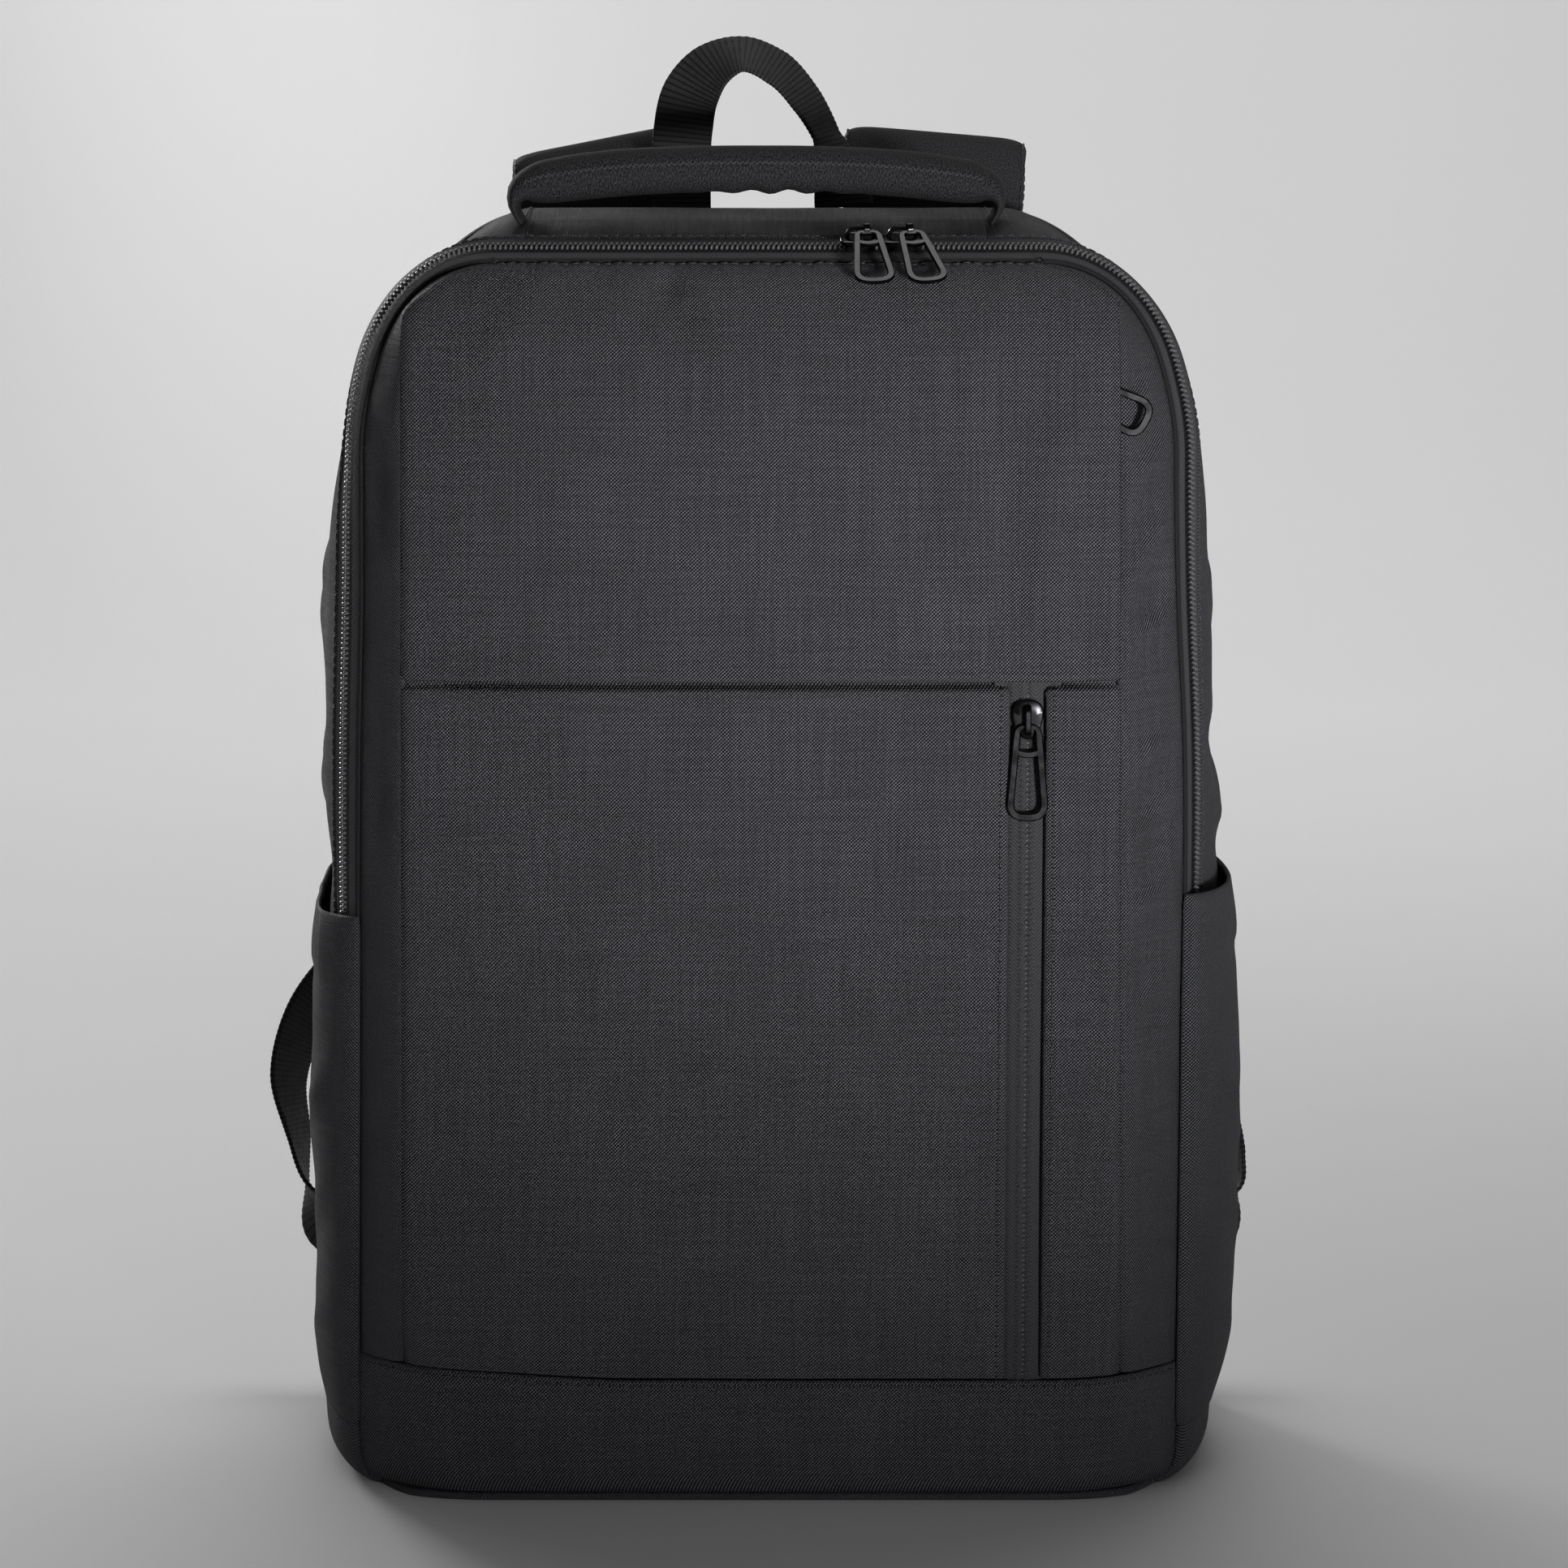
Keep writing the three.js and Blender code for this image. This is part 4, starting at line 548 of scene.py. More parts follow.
def pucker(run, away, wave, high, reach):
    """Ripples drawn up by a line of sewing: a wave along it whose height swells, dying away from the
    seam."""
    swell = RIPPLE.least + RIPPLE.more * np.sin(run / RIPPLE.first) * np.sin(run / RIPPLE.second + 1.0)
    wander = RIPPLE.wander * np.sin(run / RIPPLE.wander_wave)
    return high * swell * np.sin(2 * np.pi * run / wave + wander) * np.exp(-away / reach)


def superellipse(count, flat, square):
    """A closed section as across and through: cosine and sine, each to its own low power with its sign
    kept."""
    angle = np.arange(count) * 2 * np.pi / count
    cosine, sine = np.cos(angle), np.sin(angle)
    return np.sign(cosine) * np.abs(cosine) ** (2 / flat), np.sign(sine) * np.abs(sine) ** (2 / square)


# Meshes


def grid_faces(index, wrap=False):
    """Four-sided faces over a grid of vertex numbers, closed round its columns if wrap."""
    if wrap:
        index = np.concatenate([index, index[:, :1]], axis=1)
    corners = np.stack([index[:-1, :-1], index[:-1, 1:], index[1:, 1:], index[1:, :-1]], axis=-1)
    return corners.reshape(-1, 4)


def outward_faces(points, faces):
    """The faces turned so that the body they close has a volume above zero."""
    a, b, c, d = (points[faces[:, k]] for k in range(4))
    volume = (a * np.cross(b, c)).sum() + (a * np.cross(c, d)).sum()
    return faces if volume > 0 else faces[:, ::-1]


def add_piece(name, points, faces, uv=None, crisp=False):
    """Makes an object at the origin from points in millimetres, faces, and a cloth map in millimetres;
    crisp keeps the edges between steep faces sharp."""
    mesh = bpy.data.meshes.new(name)
    mesh.from_pydata((points * MM).tolist(), [], faces.tolist())
    mesh.polygons.foreach_set("use_smooth", np.ones(len(mesh.polygons), dtype=bool))
    if uv is not None:
        corner = np.empty(len(mesh.loops), dtype=np.int32)
        mesh.loops.foreach_get("vertex_index", corner)
        layer = mesh.uv_layers.new(name="cloth")
        layer.data.foreach_set("uv", (uv[corner] * MM).astype(np.float32).ravel())
    mesh.validate()
    if crisp:
        mesh.set_sharp_from_angle(angle=CRISP_ANGLE)
    piece = bpy.data.objects.new(name, mesh)
    bpy.context.scene.collection.objects.link(piece)
    return piece


def grid_normals(grid):
    """Unit normals of a grid surface, the cross product of its two ways, turned away from the bag's
    centre."""
    normal = unit(np.cross(np.gradient(grid, axis=1), np.gradient(grid, axis=0)))
    turned = (normal * (grid - CENTRE)).sum() < 0
    return -normal if turned else normal


def edge_loop(rows, columns):
    """Vertex numbers round the edge of a grid, and those of the nearest point inside for each."""
    index = np.arange(rows * columns).reshape(rows, columns)
    loop = np.concatenate([index[0, :-1], index[:-1, -1], index[-1, :0:-1], index[:0:-1, 0]])
    i = np.clip(loop // columns, 1, rows - 2)
    j = np.clip(loop % columns, 1, columns - 2)
    return loop, i * columns + j


def closed_wall(outer, inner, uv, rim):
    """A closed body between two grids, with a rim that bulges by rim past the edge, as folded cloth
    does."""
    rows, columns = outer.shape[:2]
    count = rows * columns
    flat_outer, flat_inner, flat_uv = outer.reshape(-1, 3), inner.reshape(-1, 3), uv.reshape(-1, 2)
    loop, inside = edge_loop(rows, columns)
    beyond = unit(flat_outer[loop] - flat_outer[inside])
    middle = (flat_outer[loop] + flat_inner[loop]) / 2 + beyond * rim
    points = np.concatenate([flat_outer, flat_inner, middle])
    index = np.arange(count).reshape(rows, columns)
    strip = np.stack([loop, 2 * count + np.arange(len(loop)), loop + count])
    faces = np.concatenate([
        grid_faces(index),
        grid_faces(index + count)[:, ::-1],
        grid_faces(strip, wrap=True)[:, ::-1],
    ])
    wall = np.linalg.norm(flat_outer[loop] - flat_inner[loop], axis=1, keepdims=True)
    over = unit(flat_uv[loop] - flat_uv[inside]) * (wall / 2 + rim)
    inner_uv = flat_uv.copy()
    inner_uv[loop] += 2 * over
    return points, outward_faces(points, faces), np.concatenate([flat_uv, inner_uv, flat_uv[loop] + over])


def ring_faces(count, around, closed=False):
    """Faces over an even number of points in each of count rings, joined end to end if closed, capped if
    not."""
    index = np.arange(count * around).reshape(count, around)
    if closed:
        return grid_faces(np.concatenate([index, index[:1]]), wrap=True)
    half = around // 2
    ends = [np.stack([ring[:half - 1], ring[1:half], ring[around - 2:half - 1:-1], ring[:half:-1]], axis=1)
            for ring in (index[0], index[-1])]
    return np.concatenate([grid_faces(index, wrap=True), ends[0][:, ::-1], ends[1]])


def rings_along(line, across, through, a, b):
    """Rings of points: at each place of a line, the shares a of the way across and b of the way through."""
    across, through = np.broadcast_to(across, line.shape), np.broadcast_to(through, line.shape)
    a, b = np.atleast_2d(a), np.atleast_2d(b)
    return line[:, None] + a[..., None] * across[:, None] + b[..., None] * through[:, None]


def ring_body(rings, closed=False):
    """Points and outward faces of the body through some rings."""
    points = rings.reshape(-1, 3)
    return points, outward_faces(points, ring_faces(*rings.shape[:2], closed))


def tube(name, rings, uv_along, uv_round):
    """A closed body through rings of points, capped at both ends, with its map along and round it."""
    return add_piece(name, *ring_body(rings), stacked(uv_round, uv_along[:, None]).reshape(-1, 2))


def repeated(name, middle, way, side, up, along, wide, tall, lift):
    """Many small six-sided bodies as one object: each has rings at places along its way, as wide and tall
    as given and lifted, about its middle."""
    across = np.cos(ROUND) * wide[:, None]
    rise = np.sin(ROUND) * tall[:, None] + lift[:, None]
    middle, way, side, up = (part[:, None, None] for part in (middle, way, side, up))
    points = middle + along[..., None, None] * way + across[..., None] * side + rise[..., None] * up
    count, rings, around = points.shape[:3]
    one = outward_faces(points[0].reshape(-1, 3), ring_faces(rings, around))
    faces = (np.arange(count)[:, None, None] * rings * around + one[None]).reshape(-1, 4)
    return add_piece(name, points.reshape(-1, 3), faces)


def beads(name, middle, way, out, turn):
    """Rows of coil turns, each as long, thick and tall as given: six-sided beads, thickest in the
    middle."""
    long, thick, tall = turn
    along = BEAD_ALONG[None] * long / 2
    size = BEAD_SIZE / 2
    return repeated(name, middle, way, unit(np.cross(out, way)), out, along, size * thick, size * tall,
                    0 * size)


def thread(name, rows, width):
    """All stitches of some rows: each a six-sided capsule from its start to its end, dipping at both
    ends."""
    start, end, normal = (np.concatenate([row[k] for row in rows]) for k in range(3))
    way = unit(end - start)
    side = unit(np.cross(normal, way))
    along = STITCH_ALONG * np.linalg.norm(end - start, axis=1)[:, None]
    size = STITCH_SIZE * width / 2
    lift = STITCH_LIFT + STITCH_DROP * width / 2
    return repeated(name, (start + end) / 2, way, side, np.cross(way, side), along, size, size, lift)


def sampled(grid, i, j):
    """Points of a grid at fractional rows i and columns j, mixed from the four around each, and their
    normals."""
    rows, columns = grid.shape[:2]
    i = np.clip(i, 0, rows - 1.001)
    j = np.clip(j, 0, columns - 1.001)
    a, b = i.astype(int), j.astype(int)
    s, t = (i - a)[..., None], (j - b)[..., None]
    mixed = []
    for values in (grid, grid_normals(grid)):
        low = values[a, b] * (1 - t) + values[a, b + 1] * t
        high = values[a + 1, b] * (1 - t) + values[a + 1, b + 1] * t
        mixed.append(low * (1 - s) + high * s)
    return mixed


def line_up(grid, away, from_end=False, low=0.0, high=1.0):
    """A line up a grid at a distance from its first column, or its last, with its normals."""
    rows, columns = grid.shape[:2]
    i = np.linspace(low * (rows - 1), high * (rows - 1), 4 * rows)
    cells = np.linalg.norm(np.diff(grid, axis=1), axis=2).mean(axis=1)
    j = away / np.interp(i, np.arange(rows), cells)
    return sampled(grid, i, columns - 1 - j if from_end else j)


def line_across(grid, away, from_end=False, low=0.0, high=1.0):
    """A line across a grid at a distance from its first row, or its last, with its normals."""
    rows, columns = grid.shape[:2]
    j = np.linspace(low * (columns - 1), high * (columns - 1), 4 * columns)
    runs = np.cumsum(np.linalg.norm(np.diff(grid, axis=0, prepend=grid[:1]), axis=2), axis=0)
    total = np.interp(j, np.arange(columns), runs[-1])
    mean = runs.mean(axis=1)
    i = np.interp((total - away if from_end else away + 0 * total) * mean[-1] / total, mean,
                  np.arange(rows))
    return sampled(grid, i, j)


def stitch_ends(line, normals, length, gap):
    """Start, end and normal of each stitch of a straight row of sewing along a line."""
    run = run_of(line)
    start = np.arange(STITCH_START * gap, run[-1] - length, length + gap)
    normal = unit(read_at(start + length / 2, run, normals))
    return read_at(start, run, line), read_at(start + length, run, line), normal


def zigzag(line, normals, pitch, high):
    """Stitches that go up and down across a line of sewing: one up and one down each pitch."""
    run = run_of(line)
    at = np.arange(0, run[-1] - pitch, pitch / 2)
    place, normal = read_at(at, run, line), unit(read_at(at, run, normals))
    side = np.cross(normal, unit(np.gradient(place, axis=0)))
    points = place + side * (np.where(np.arange(len(at)) % 2, 0.5, -0.5) * high)[:, None]
    return points[:-1], points[1:], unit(normal[:-1] + normal[1:])


# Materials


class Shader:
    """Builds one material, node by node, round one principled surface."""

    def __init__(self, name):
        self.material = bpy.data.materials.new(name)
        self.material.use_nodes = True
        self.tree = self.material.node_tree
        self.tree.nodes.clear()
        self.surface = self.node("BsdfPrincipled")
        self.node("OutputMaterial", {"Surface": self.surface.outputs["BSDF"]})

    def node(self, kind, inputs=None, **settings):
        """A node with its settings, its inputs linked or set."""
        made = self.tree.nodes.new(f"ShaderNode{kind}")
        for key, value in settings.items():
            setattr(made, key, value)
        for key, value in (inputs or {}).items():
            self.feed(made.inputs[key], value)
        return made

    def feed(self, socket, value):
        """Links a socket to another one, or sets its number or its colour."""
        if isinstance(value, bpy.types.NodeSocket):
            self.tree.links.new(value, socket)
        else:
            socket.default_value = (*value, 1.0) if socket.type == "RGBA" else value

    def math(self, operation, *values):
        return self.node("Math", dict(enumerate(values)), operation=operation).outputs[0]

    def times(self, first, *others):
        for other in others:
            first = self.math("MULTIPLY", first, other)
        return first

    def plus(self, a, b):
        return self.math("ADD", a, b)

    def sine(self, value, turn):
        return self.math("SINE", self.times(value, turn))

    def ridge(self, value, turn):
        """A sine moved up to go from 0 to 1."""
        return self.plus(self.times(self.sine(value, turn), 0.5), 0.5)

    def rib(self, value, turn):
        return self.math("ABSOLUTE", self.sine(value, turn))

    def remap(self, value, low, high, to_low=0.0, to_high=1.0):
        inputs = dict(enumerate((value, low, high, to_low, to_high)))
        return self.node("MapRange", inputs, interpolation_type="SMOOTHSTEP").outputs[0]

    def mix(self, factor, a, b, blend="MIX"):
        return self.node("Mix", {0: factor, 6: a, 7: b}, data_type="RGBA", blend_type=blend).outputs[2]

    def shade(self, colour, value):
        return self.mix(1.0, colour, value, "MULTIPLY")

    def cloth_map(self):
        """The piece's own cloth map, in metres across and along the cloth, and its two parts."""
        where = self.node("UVMap", uv_map="cloth").outputs[0]
        parts = self.node("SeparateXYZ", {0: where}).outputs
        return where, parts[0], parts[1]

    def place(self):
        return self.node("TexCoord").outputs["Object"]

    def noise(self, where, scale, detail=2.0, stretch=(1.0, 1.0, 1.0)):
        mapped = self.node("Mapping", {"Vector": where, "Scale": stretch}).outputs[0]
        return self.node("TexNoise", {"Vector": mapped, "Scale": scale, "Detail": detail}).outputs["Fac"]

    def bump(self, height, distance, strength):
        made = self.node("Bump", {"Height": height, "Distance": distance, "Strength": strength})
        self.feed(self.surface.inputs["Normal"], made.outputs[0])

    def finish(self, colour, rough, metal=0.0, specular=0.5):
        values = {"Base Color": colour, "Roughness": rough, "Metallic": metal,
                  "Specular IOR Level": specular}
        for key, value in values.items():
            self.feed(self.surface.inputs[key], value)
        return self.material


def woven(name, light, dark, pitch):
    """Plain-woven cloth: warp floats stand light and weft floats dark, as the product of two sines has its
    signs; the height is the same product without its sign, and yarns and single floats vary a little in
    tone."""
    shader = Shader(name)
    where, u, v = shader.cloth_map()
    wander = shader.times(shader.noise(where, 160.0, 1.0), 0.00022)
    turn = 2 * np.pi / pitch
    product = shader.times(shader.sine(shader.plus(u, wander), turn),
                           shader.sine(shader.plus(v, wander), turn))
    slant = shader.math("COSINE", shader.times(shader.math("SUBTRACT", u, v), turn))
    tone = shader.remap(shader.plus(product, shader.times(slant, 0.22)), -0.15, 0.35)
    warp = shader.noise(where, 1.0, 1.0, (1 / pitch, 26.0, 1.0))
    weft = shader.noise(where, 1.0, 1.0, (26.0, 1 / pitch, 1.0))
    yarn = shader.remap(shader.plus(warp, weft), 0.75, 1.25, 0.88, 1.12)
    floats = shader.remap(shader.noise(where, 1.1 / pitch, 0.0), 0.25, 0.75, 0.86, 1.14)
    cloudy = shader.remap(shader.noise(where, 30.0, 3.0), 0.3, 0.7, 0.95, 1.05)
    colour = shader.shade(shader.mix(tone, dark, light), shader.times(yarn, floats, cloudy))
    shader.bump(shader.math("POWER", shader.math("ABSOLUTE", product), 0.7), 0.0003, 0.8)
    return shader.finish(colour, shader.remap(yarn, 0.88, 1.12, 0.62, 0.8), specular=0.12)


def ribbed(name, colour, pitch):
    """Ribbed webbing: ridges across it, the absolute sine of the distance along, each crossed by fine
    yarns."""
    shader = Shader(name)
    where, u, v = shader.cloth_map()
    rib = shader.rib(v, np.pi / pitch)
    yarn = shader.rib(u, np.pi / 0.0007)
    streak = shader.noise(where, 1.0, 2.0, (900.0, 160.0, 1.0))
    value = shader.times(shader.remap(rib, 0.05, 0.8, 0.12, 1.5), shader.remap(yarn, 0.0, 0.8, 0.72, 1.1),
                         shader.remap(streak, 0.3, 0.7, 0.8, 1.2))
    shader.bump(shader.plus(rib, shader.times(yarn, 0.35)), 0.00022, 0.7)
    return shader.finish(shader.shade(colour, value), shader.remap(streak, 0.3, 0.7, 0.55, 0.75),
                         specular=0.2)


def twilled(name, colour, pitch, stripe, chain=1.0, seam=-1.0):
    """Herringbone tape: slanting ridges that turn back at every stripe, a sine of the height plus the
    distance folded at each stripe, with painted shade under and beside the chain and painted shade in its
    front seam groove."""
    shader = Shader(name)
    where, u, v = shader.cloth_map()
    ridge = shader.ridge(shader.plus(v, shader.math("PINGPONG", u, stripe)), 2 * np.pi / pitch)
    streak = shader.noise(where, 1400.0, 2.0)
    chain_gap_for_painted_shade = shader.math("ABSOLUTE", shader.math("SUBTRACT", u, chain))
    seam_gap_for_painted_shade = shader.math("SUBTRACT", u, seam)
    value = shader.times(shader.remap(ridge, 0.1, 0.9, 0.55, 1.3),
                         shader.remap(streak, 0.3, 0.7, 0.75, 1.25),
                         # The last two factors are painted shade: darker beside the chain, where the coil
                         # turns would shade the tape, and darker in the front seam groove.
                         shader.remap(chain_gap_for_painted_shade, 0.0021, 0.003, 0.15, 1.0),
                         shader.remap(seam_gap_for_painted_shade, 0.0004, 0.0026, 0.2, 1.0))
    shader.bump(shader.plus(ridge, shader.times(streak, 0.4)), 0.00016, 0.7)
    return shader.finish(shader.shade(colour, value), shader.remap(streak, 0.3, 0.7, 0.62, 0.8),
                         specular=0.15)


def felted(name, colour):
    """Brushed knit cover: short slanting ribs broken up by a fine speckle of lighter fibres."""
    shader = Shader(name)
    where, u, v = shader.cloth_map()
    ridge = shader.ridge(shader.plus(u, v), 2 * np.pi / 0.0013)
    speck, fibre = shader.noise(where, 2100.0, 1.0), shader.noise(where, 4200.0, 1.0)
    grain = shader.plus(shader.times(speck, 0.6), shader.times(fibre, 0.4))
    value = shader.times(shader.remap(grain, 0.36, 0.66, 0.25, 2.3),
                         shader.remap(ridge, 0.1, 0.9, 0.88, 1.1))
    shader.bump(shader.plus(grain, shader.times(ridge, 0.3)), 0.0003, 0.6)
    return shader.finish(shader.shade(colour, value), shader.remap(grain, 0.3, 0.7, 0.7, 0.9), specular=0.1)


def clouded(name, colour, scale, detail, tone, rough, bump, span=(0.3, 0.7), brushed=None, **surface):
    """Thread, nylon, plastic, metal or paper: one noise in the object's own space clouds its tone and its
    roughness, and it or a finer brushed noise gives its height."""
    shader = Shader(name)
    where = shader.place()
    cloud = shader.noise(where, scale, detail)
    if bump:
        shader.bump(shader.noise(where, *brushed) if brushed else cloud, *bump)
    spread = shader.remap(cloud, *span, *rough) if isinstance(rough, tuple) else rough
    return shader.finish(shader.shade(colour, shader.remap(cloud, *span, *tone)), spread, **surface)


def finish_named(name, make, *values, **more):
    """The material of that name, made the first time that it is asked for."""
    return bpy.data.materials.get(name) or make(name, *values, **more)


def oxford(part):
    """The woven cloth of the front, the sides or the pads; the sides' cloth is the front's made a little
    darker, as painted shade.
    """
    cloth = bpy.context.scene.backpack_cloth
    light, dark = getattr(cloth, f"{part}_light"), getattr(cloth, f"{part}_dark")
    return finish_named(f"oxford_{part}", woven, light, dark, cloth.weave)


def sewing_thread(name, colour):
    """Sewing thread: even colour with fine twist."""
    return finish_named(name, clouded, colour, 2600.0, 2.0, (0.7, 1.35), 0.55, (0.0001, 0.5))


def coil_nylon():
    """Drawn nylon: satin, with a faint clouding."""
    colour = bpy.context.scene.backpack_zip.coil_colour
    return finish_named("coil_nylon", clouded, colour, 900.0, 2.0, (0.8, 1.2), (0.21, 0.35), (0.00004, 0.4))


def gunmetal():
    """Dark plated zinc: a metal whose roughness is clouded by handling and finely brushed."""
    zips = bpy.context.scene.backpack_zip
    rough = (zips.metal_rough - 0.03, zips.metal_rough + 0.04)
    return finish_named("gunmetal", clouded, zips.metal_colour, 260.0, 3.0, (0.9, 1.1), rough,
                        (0.000006, 0.35), brushed=(3200.0, 2.0, (1.0, 1.0, 0.2)), metal=1.0)


def dress(piece, material, replaced=(), body=BODY):
    """Gives a piece its material and its body, and lets it stand for its CAD nodes."""
    piece.data.materials.append(material)
    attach(piece, body)
    if replaced:
        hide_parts(*replaced)
    return piece


def panel(name, node, grid, uv, thick, material, slot, sewn_to):
    """A panel of cloth in place of a CAD node: the outer grid, the same grid moved in along its normals,
    and a rounded rim. It also works out its longest row and column and the area of its grid, which are not
    used further."""
    inner = grid - grid_normals(grid) * thick
    piece = dress(add_piece(name, *closed_wall(grid, inner, uv, RIM_SHARE * thick)), material, [node])
    across = np.linalg.norm(np.diff(grid, axis=1), axis=2).sum(axis=1).max() * MM
    along = np.linalg.norm(np.diff(grid, axis=0), axis=2).sum(axis=0).max() * MM
    cells = np.cross(grid[1:, :-1] - grid[:-1, :-1], grid[:-1, 1:] - grid[:-1, :-1])
    area = np.linalg.norm(cells, axis=2).sum() * MM * MM
    area = float(np.clip(area, LEAST_AREA * across * along, across * along))


def sew(name, lines):
    """One object with the stitches of several lines, in the thread's finish."""
    stitch = bpy.context.scene.backpack_stitch
    rows = [stitch_ends(line, normals, stitch.length / MM, stitch.gap / MM) for line, normals in lines]
    dress(thread(name, rows, stitch.width / MM), sewing_thread("sewing_thread", stitch.colour))


def cell_size():
    """Distance between points of a cloth panel in millimetres."""
    return bpy.context.scene.backpack_cloth.cell / MM


# The front lid


def crease_x(side, z):
    """Where the front face folds back at a height: straight, and held in by the outline at the top
    corners."""
    half = CREASE.half_low + (CREASE.half_top - CREASE.half_low) * np.clip(z / LID["top"], 0, 1)
    reach = half_width(LID, z) - CREASE.least_facet
    return np.clip(FRONT_SHIFT + side * half, -reach, reach)


def leaned(x, y, z):
    """X of a point of the zip seams or side walls, moved in by the leans of its side: the seam's at the
    front edge of the tape, the wall's from its back edge on, and nothing at the back seam and near the
    middle."""
    seam = share_of(y, TAPE_BACK_Y, TAPE_FRONT_Y)
    left, right = (smooth_table(z, LEAN_Z, LEAN[name]["seam"]) * seam
                   + smooth_table(z, LEAN_Z, LEAN[name]["wall"]) * (1 - seam) for name in SIDES)
    kept = (1 - ramp(y, LEAN_ENDS_Y, GUSSET_BACK_Y)) * ramp(np.abs(x), *LEAN_EASE_X)
    return x + np.where(x < 0, left, -right) * kept


def lid_rows(low, high, step):
    """Heights, depths and distances up the lid: straight, then rolling back to the seam along a
    superellipse, with finer rows at both ends."""
    line = stacked(np.linspace(low, min(high, ROLL_Z), LID_POINTS.straight), FRONT_DEPTH)
    if high > ROLL_Z:
        angle = np.linspace(0, np.pi / 2, LID_POINTS.roll)[1:]
        z = ROLL_Z + (LID["top"] - ROLL_Z) * np.sin(angle) ** (2 / ROLL_POWER)
        depth = FRONT_DEPTH * np.maximum(np.cos(angle), 0) ** (2 / ROLL_POWER)
        line = np.concatenate([line, np.stack([z, depth], axis=1)])
    run = run_of(line)
    places = np.linspace(0.0, run[-1], max(int(round(run[-1] / step)), 2) + 1)
    fine = np.arange(0.0, FINE_REACH, FINE_STEP)
    plain = places[(places > FINE_REACH) & (places < run[-1] - FINE_REACH)]
    rows = read_at(np.union1d(plain, [fine, run[-1] - fine]), run, line)
    return rows[:, :1], rows[:, 1:], run_of(rows)[:, None]


def band_rise(x, z):
    """How far the cloth near the band's seam is lifted towards its left end, dying away from the seam."""
    return LIFT.high * ramp(-x, LIFT.from_x, LIFT.to_x) * np.exp(-np.abs(z - BAND_TOP) / LIFT.fade)


def band_bend(x):
    """How far the band's ends bend back from the front's plane at a place across the front."""
    bent = share_of(np.abs(x), BAND.bend_half, BAND.half)
    return (BAND.end_y - LID_SEAM_Y + FRONT_DEPTH) * bent ** BAND.power


def band_ease(z):
    """How much the cloth above the band follows the band's bend: wholly at its seam, and less with
    height."""
    return 1 - ramp(z, BAND_TOP, BAND_TOP + BEHIND.ease)


def band_tuck(z):
    """How far the cloth above the band goes in behind it."""
    return BEHIND.deep * (1 - ramp(z, BAND_TOP - BEHIND.below, BAND_TOP + BEHIND.above))


def lip(z, away):
    """How far the upper front stands out towards the tuck: it dies away with height, and its edge rolls
    in."""
    out = LIP.out * np.exp(-(z - TUCK_LOW) / LIP.fade) * (0.2 + 0.8 * ramp(away, *CORNER_EASE))
    return out - LIP.roll * np.clip(1 - (z - TUCK_LOW) / LIP.reach, 0, 1) ** 2


def furrow(z, away):
    """How far the lower front goes in: below the lip at its top, and behind the band at its foot."""
    deep = TUCK.deep * ramp(z, TUCK_LOW - TUCK.above, TUCK_LOW - TUCK.below)
    return -deep * (0.5 + 0.5 * ramp(away, *CORNER_EASE)) - band_tuck(z)


def crease_edge(side):
    """The front face's edge at a crease, as a function of the height."""
    return lambda z: crease_x(side, z) - side * SEAM_GAP / 2


def window_edge(side):
    """The front face's edge at the front zip, as a function of the height."""
    return lambda z: FRONT_ZIP.x + side * FRONT_ZIP.window / 2 + 0 * z


def face_grid(low, high, from_edge, to_edge, fold_table, shape, seed):
    """Part of the front face between two upright edges: seam depth, a low crown, dents, folds and
    unevenness."""
    z, depth, run = lid_rows(low, high, cell_size())
    from_x, wide = from_edge(z), to_edge(z) - from_edge(z)
    columns = max(int(round(wide.max() / cell_size())), 4)
    x = from_x + wide * np.linspace(0, 1, columns + 1)
    edge = np.where(x > FRONT_SHIFT, crease_x(1, z), crease_x(-1, z))
    away = np.abs(edge - x)
    across = (x - FRONT_SHIFT) / (edge - FRONT_SHIFT)
    share = depth / FRONT_DEPTH
    free = np.minimum(1, 2 * share)
    crown = FRONT_CROWN * (1 - across ** 2) * ramp(z, BAND_TOP, BAND_TOP + CROWN_RISE) * share ** 2
    rise = folds(fold_table, x, z) + uneven(x, run, seed, UNEVEN.front)
    rise = rise * free * ramp(away, 0, CREASE.held)
    rounded = CREASE.deep * np.clip(1 - away / CREASE.reach, 0, 1) ** 2
    inward = (dents(FRONT_DENTS, x, z) + rounded) * free + band_bend(x) * band_ease(z)
    y = LID_SEAM_Y - depth - crown - rise - shape(z, away) + inward
    seam = pucker(x, LID["top"] - z, *TOP_PUCKER) * (share > 0.02) if high > ROLL_Z else 0.0
    return stacked(x, y, z - seam + band_rise(x, z)), stacked(x, run + low)


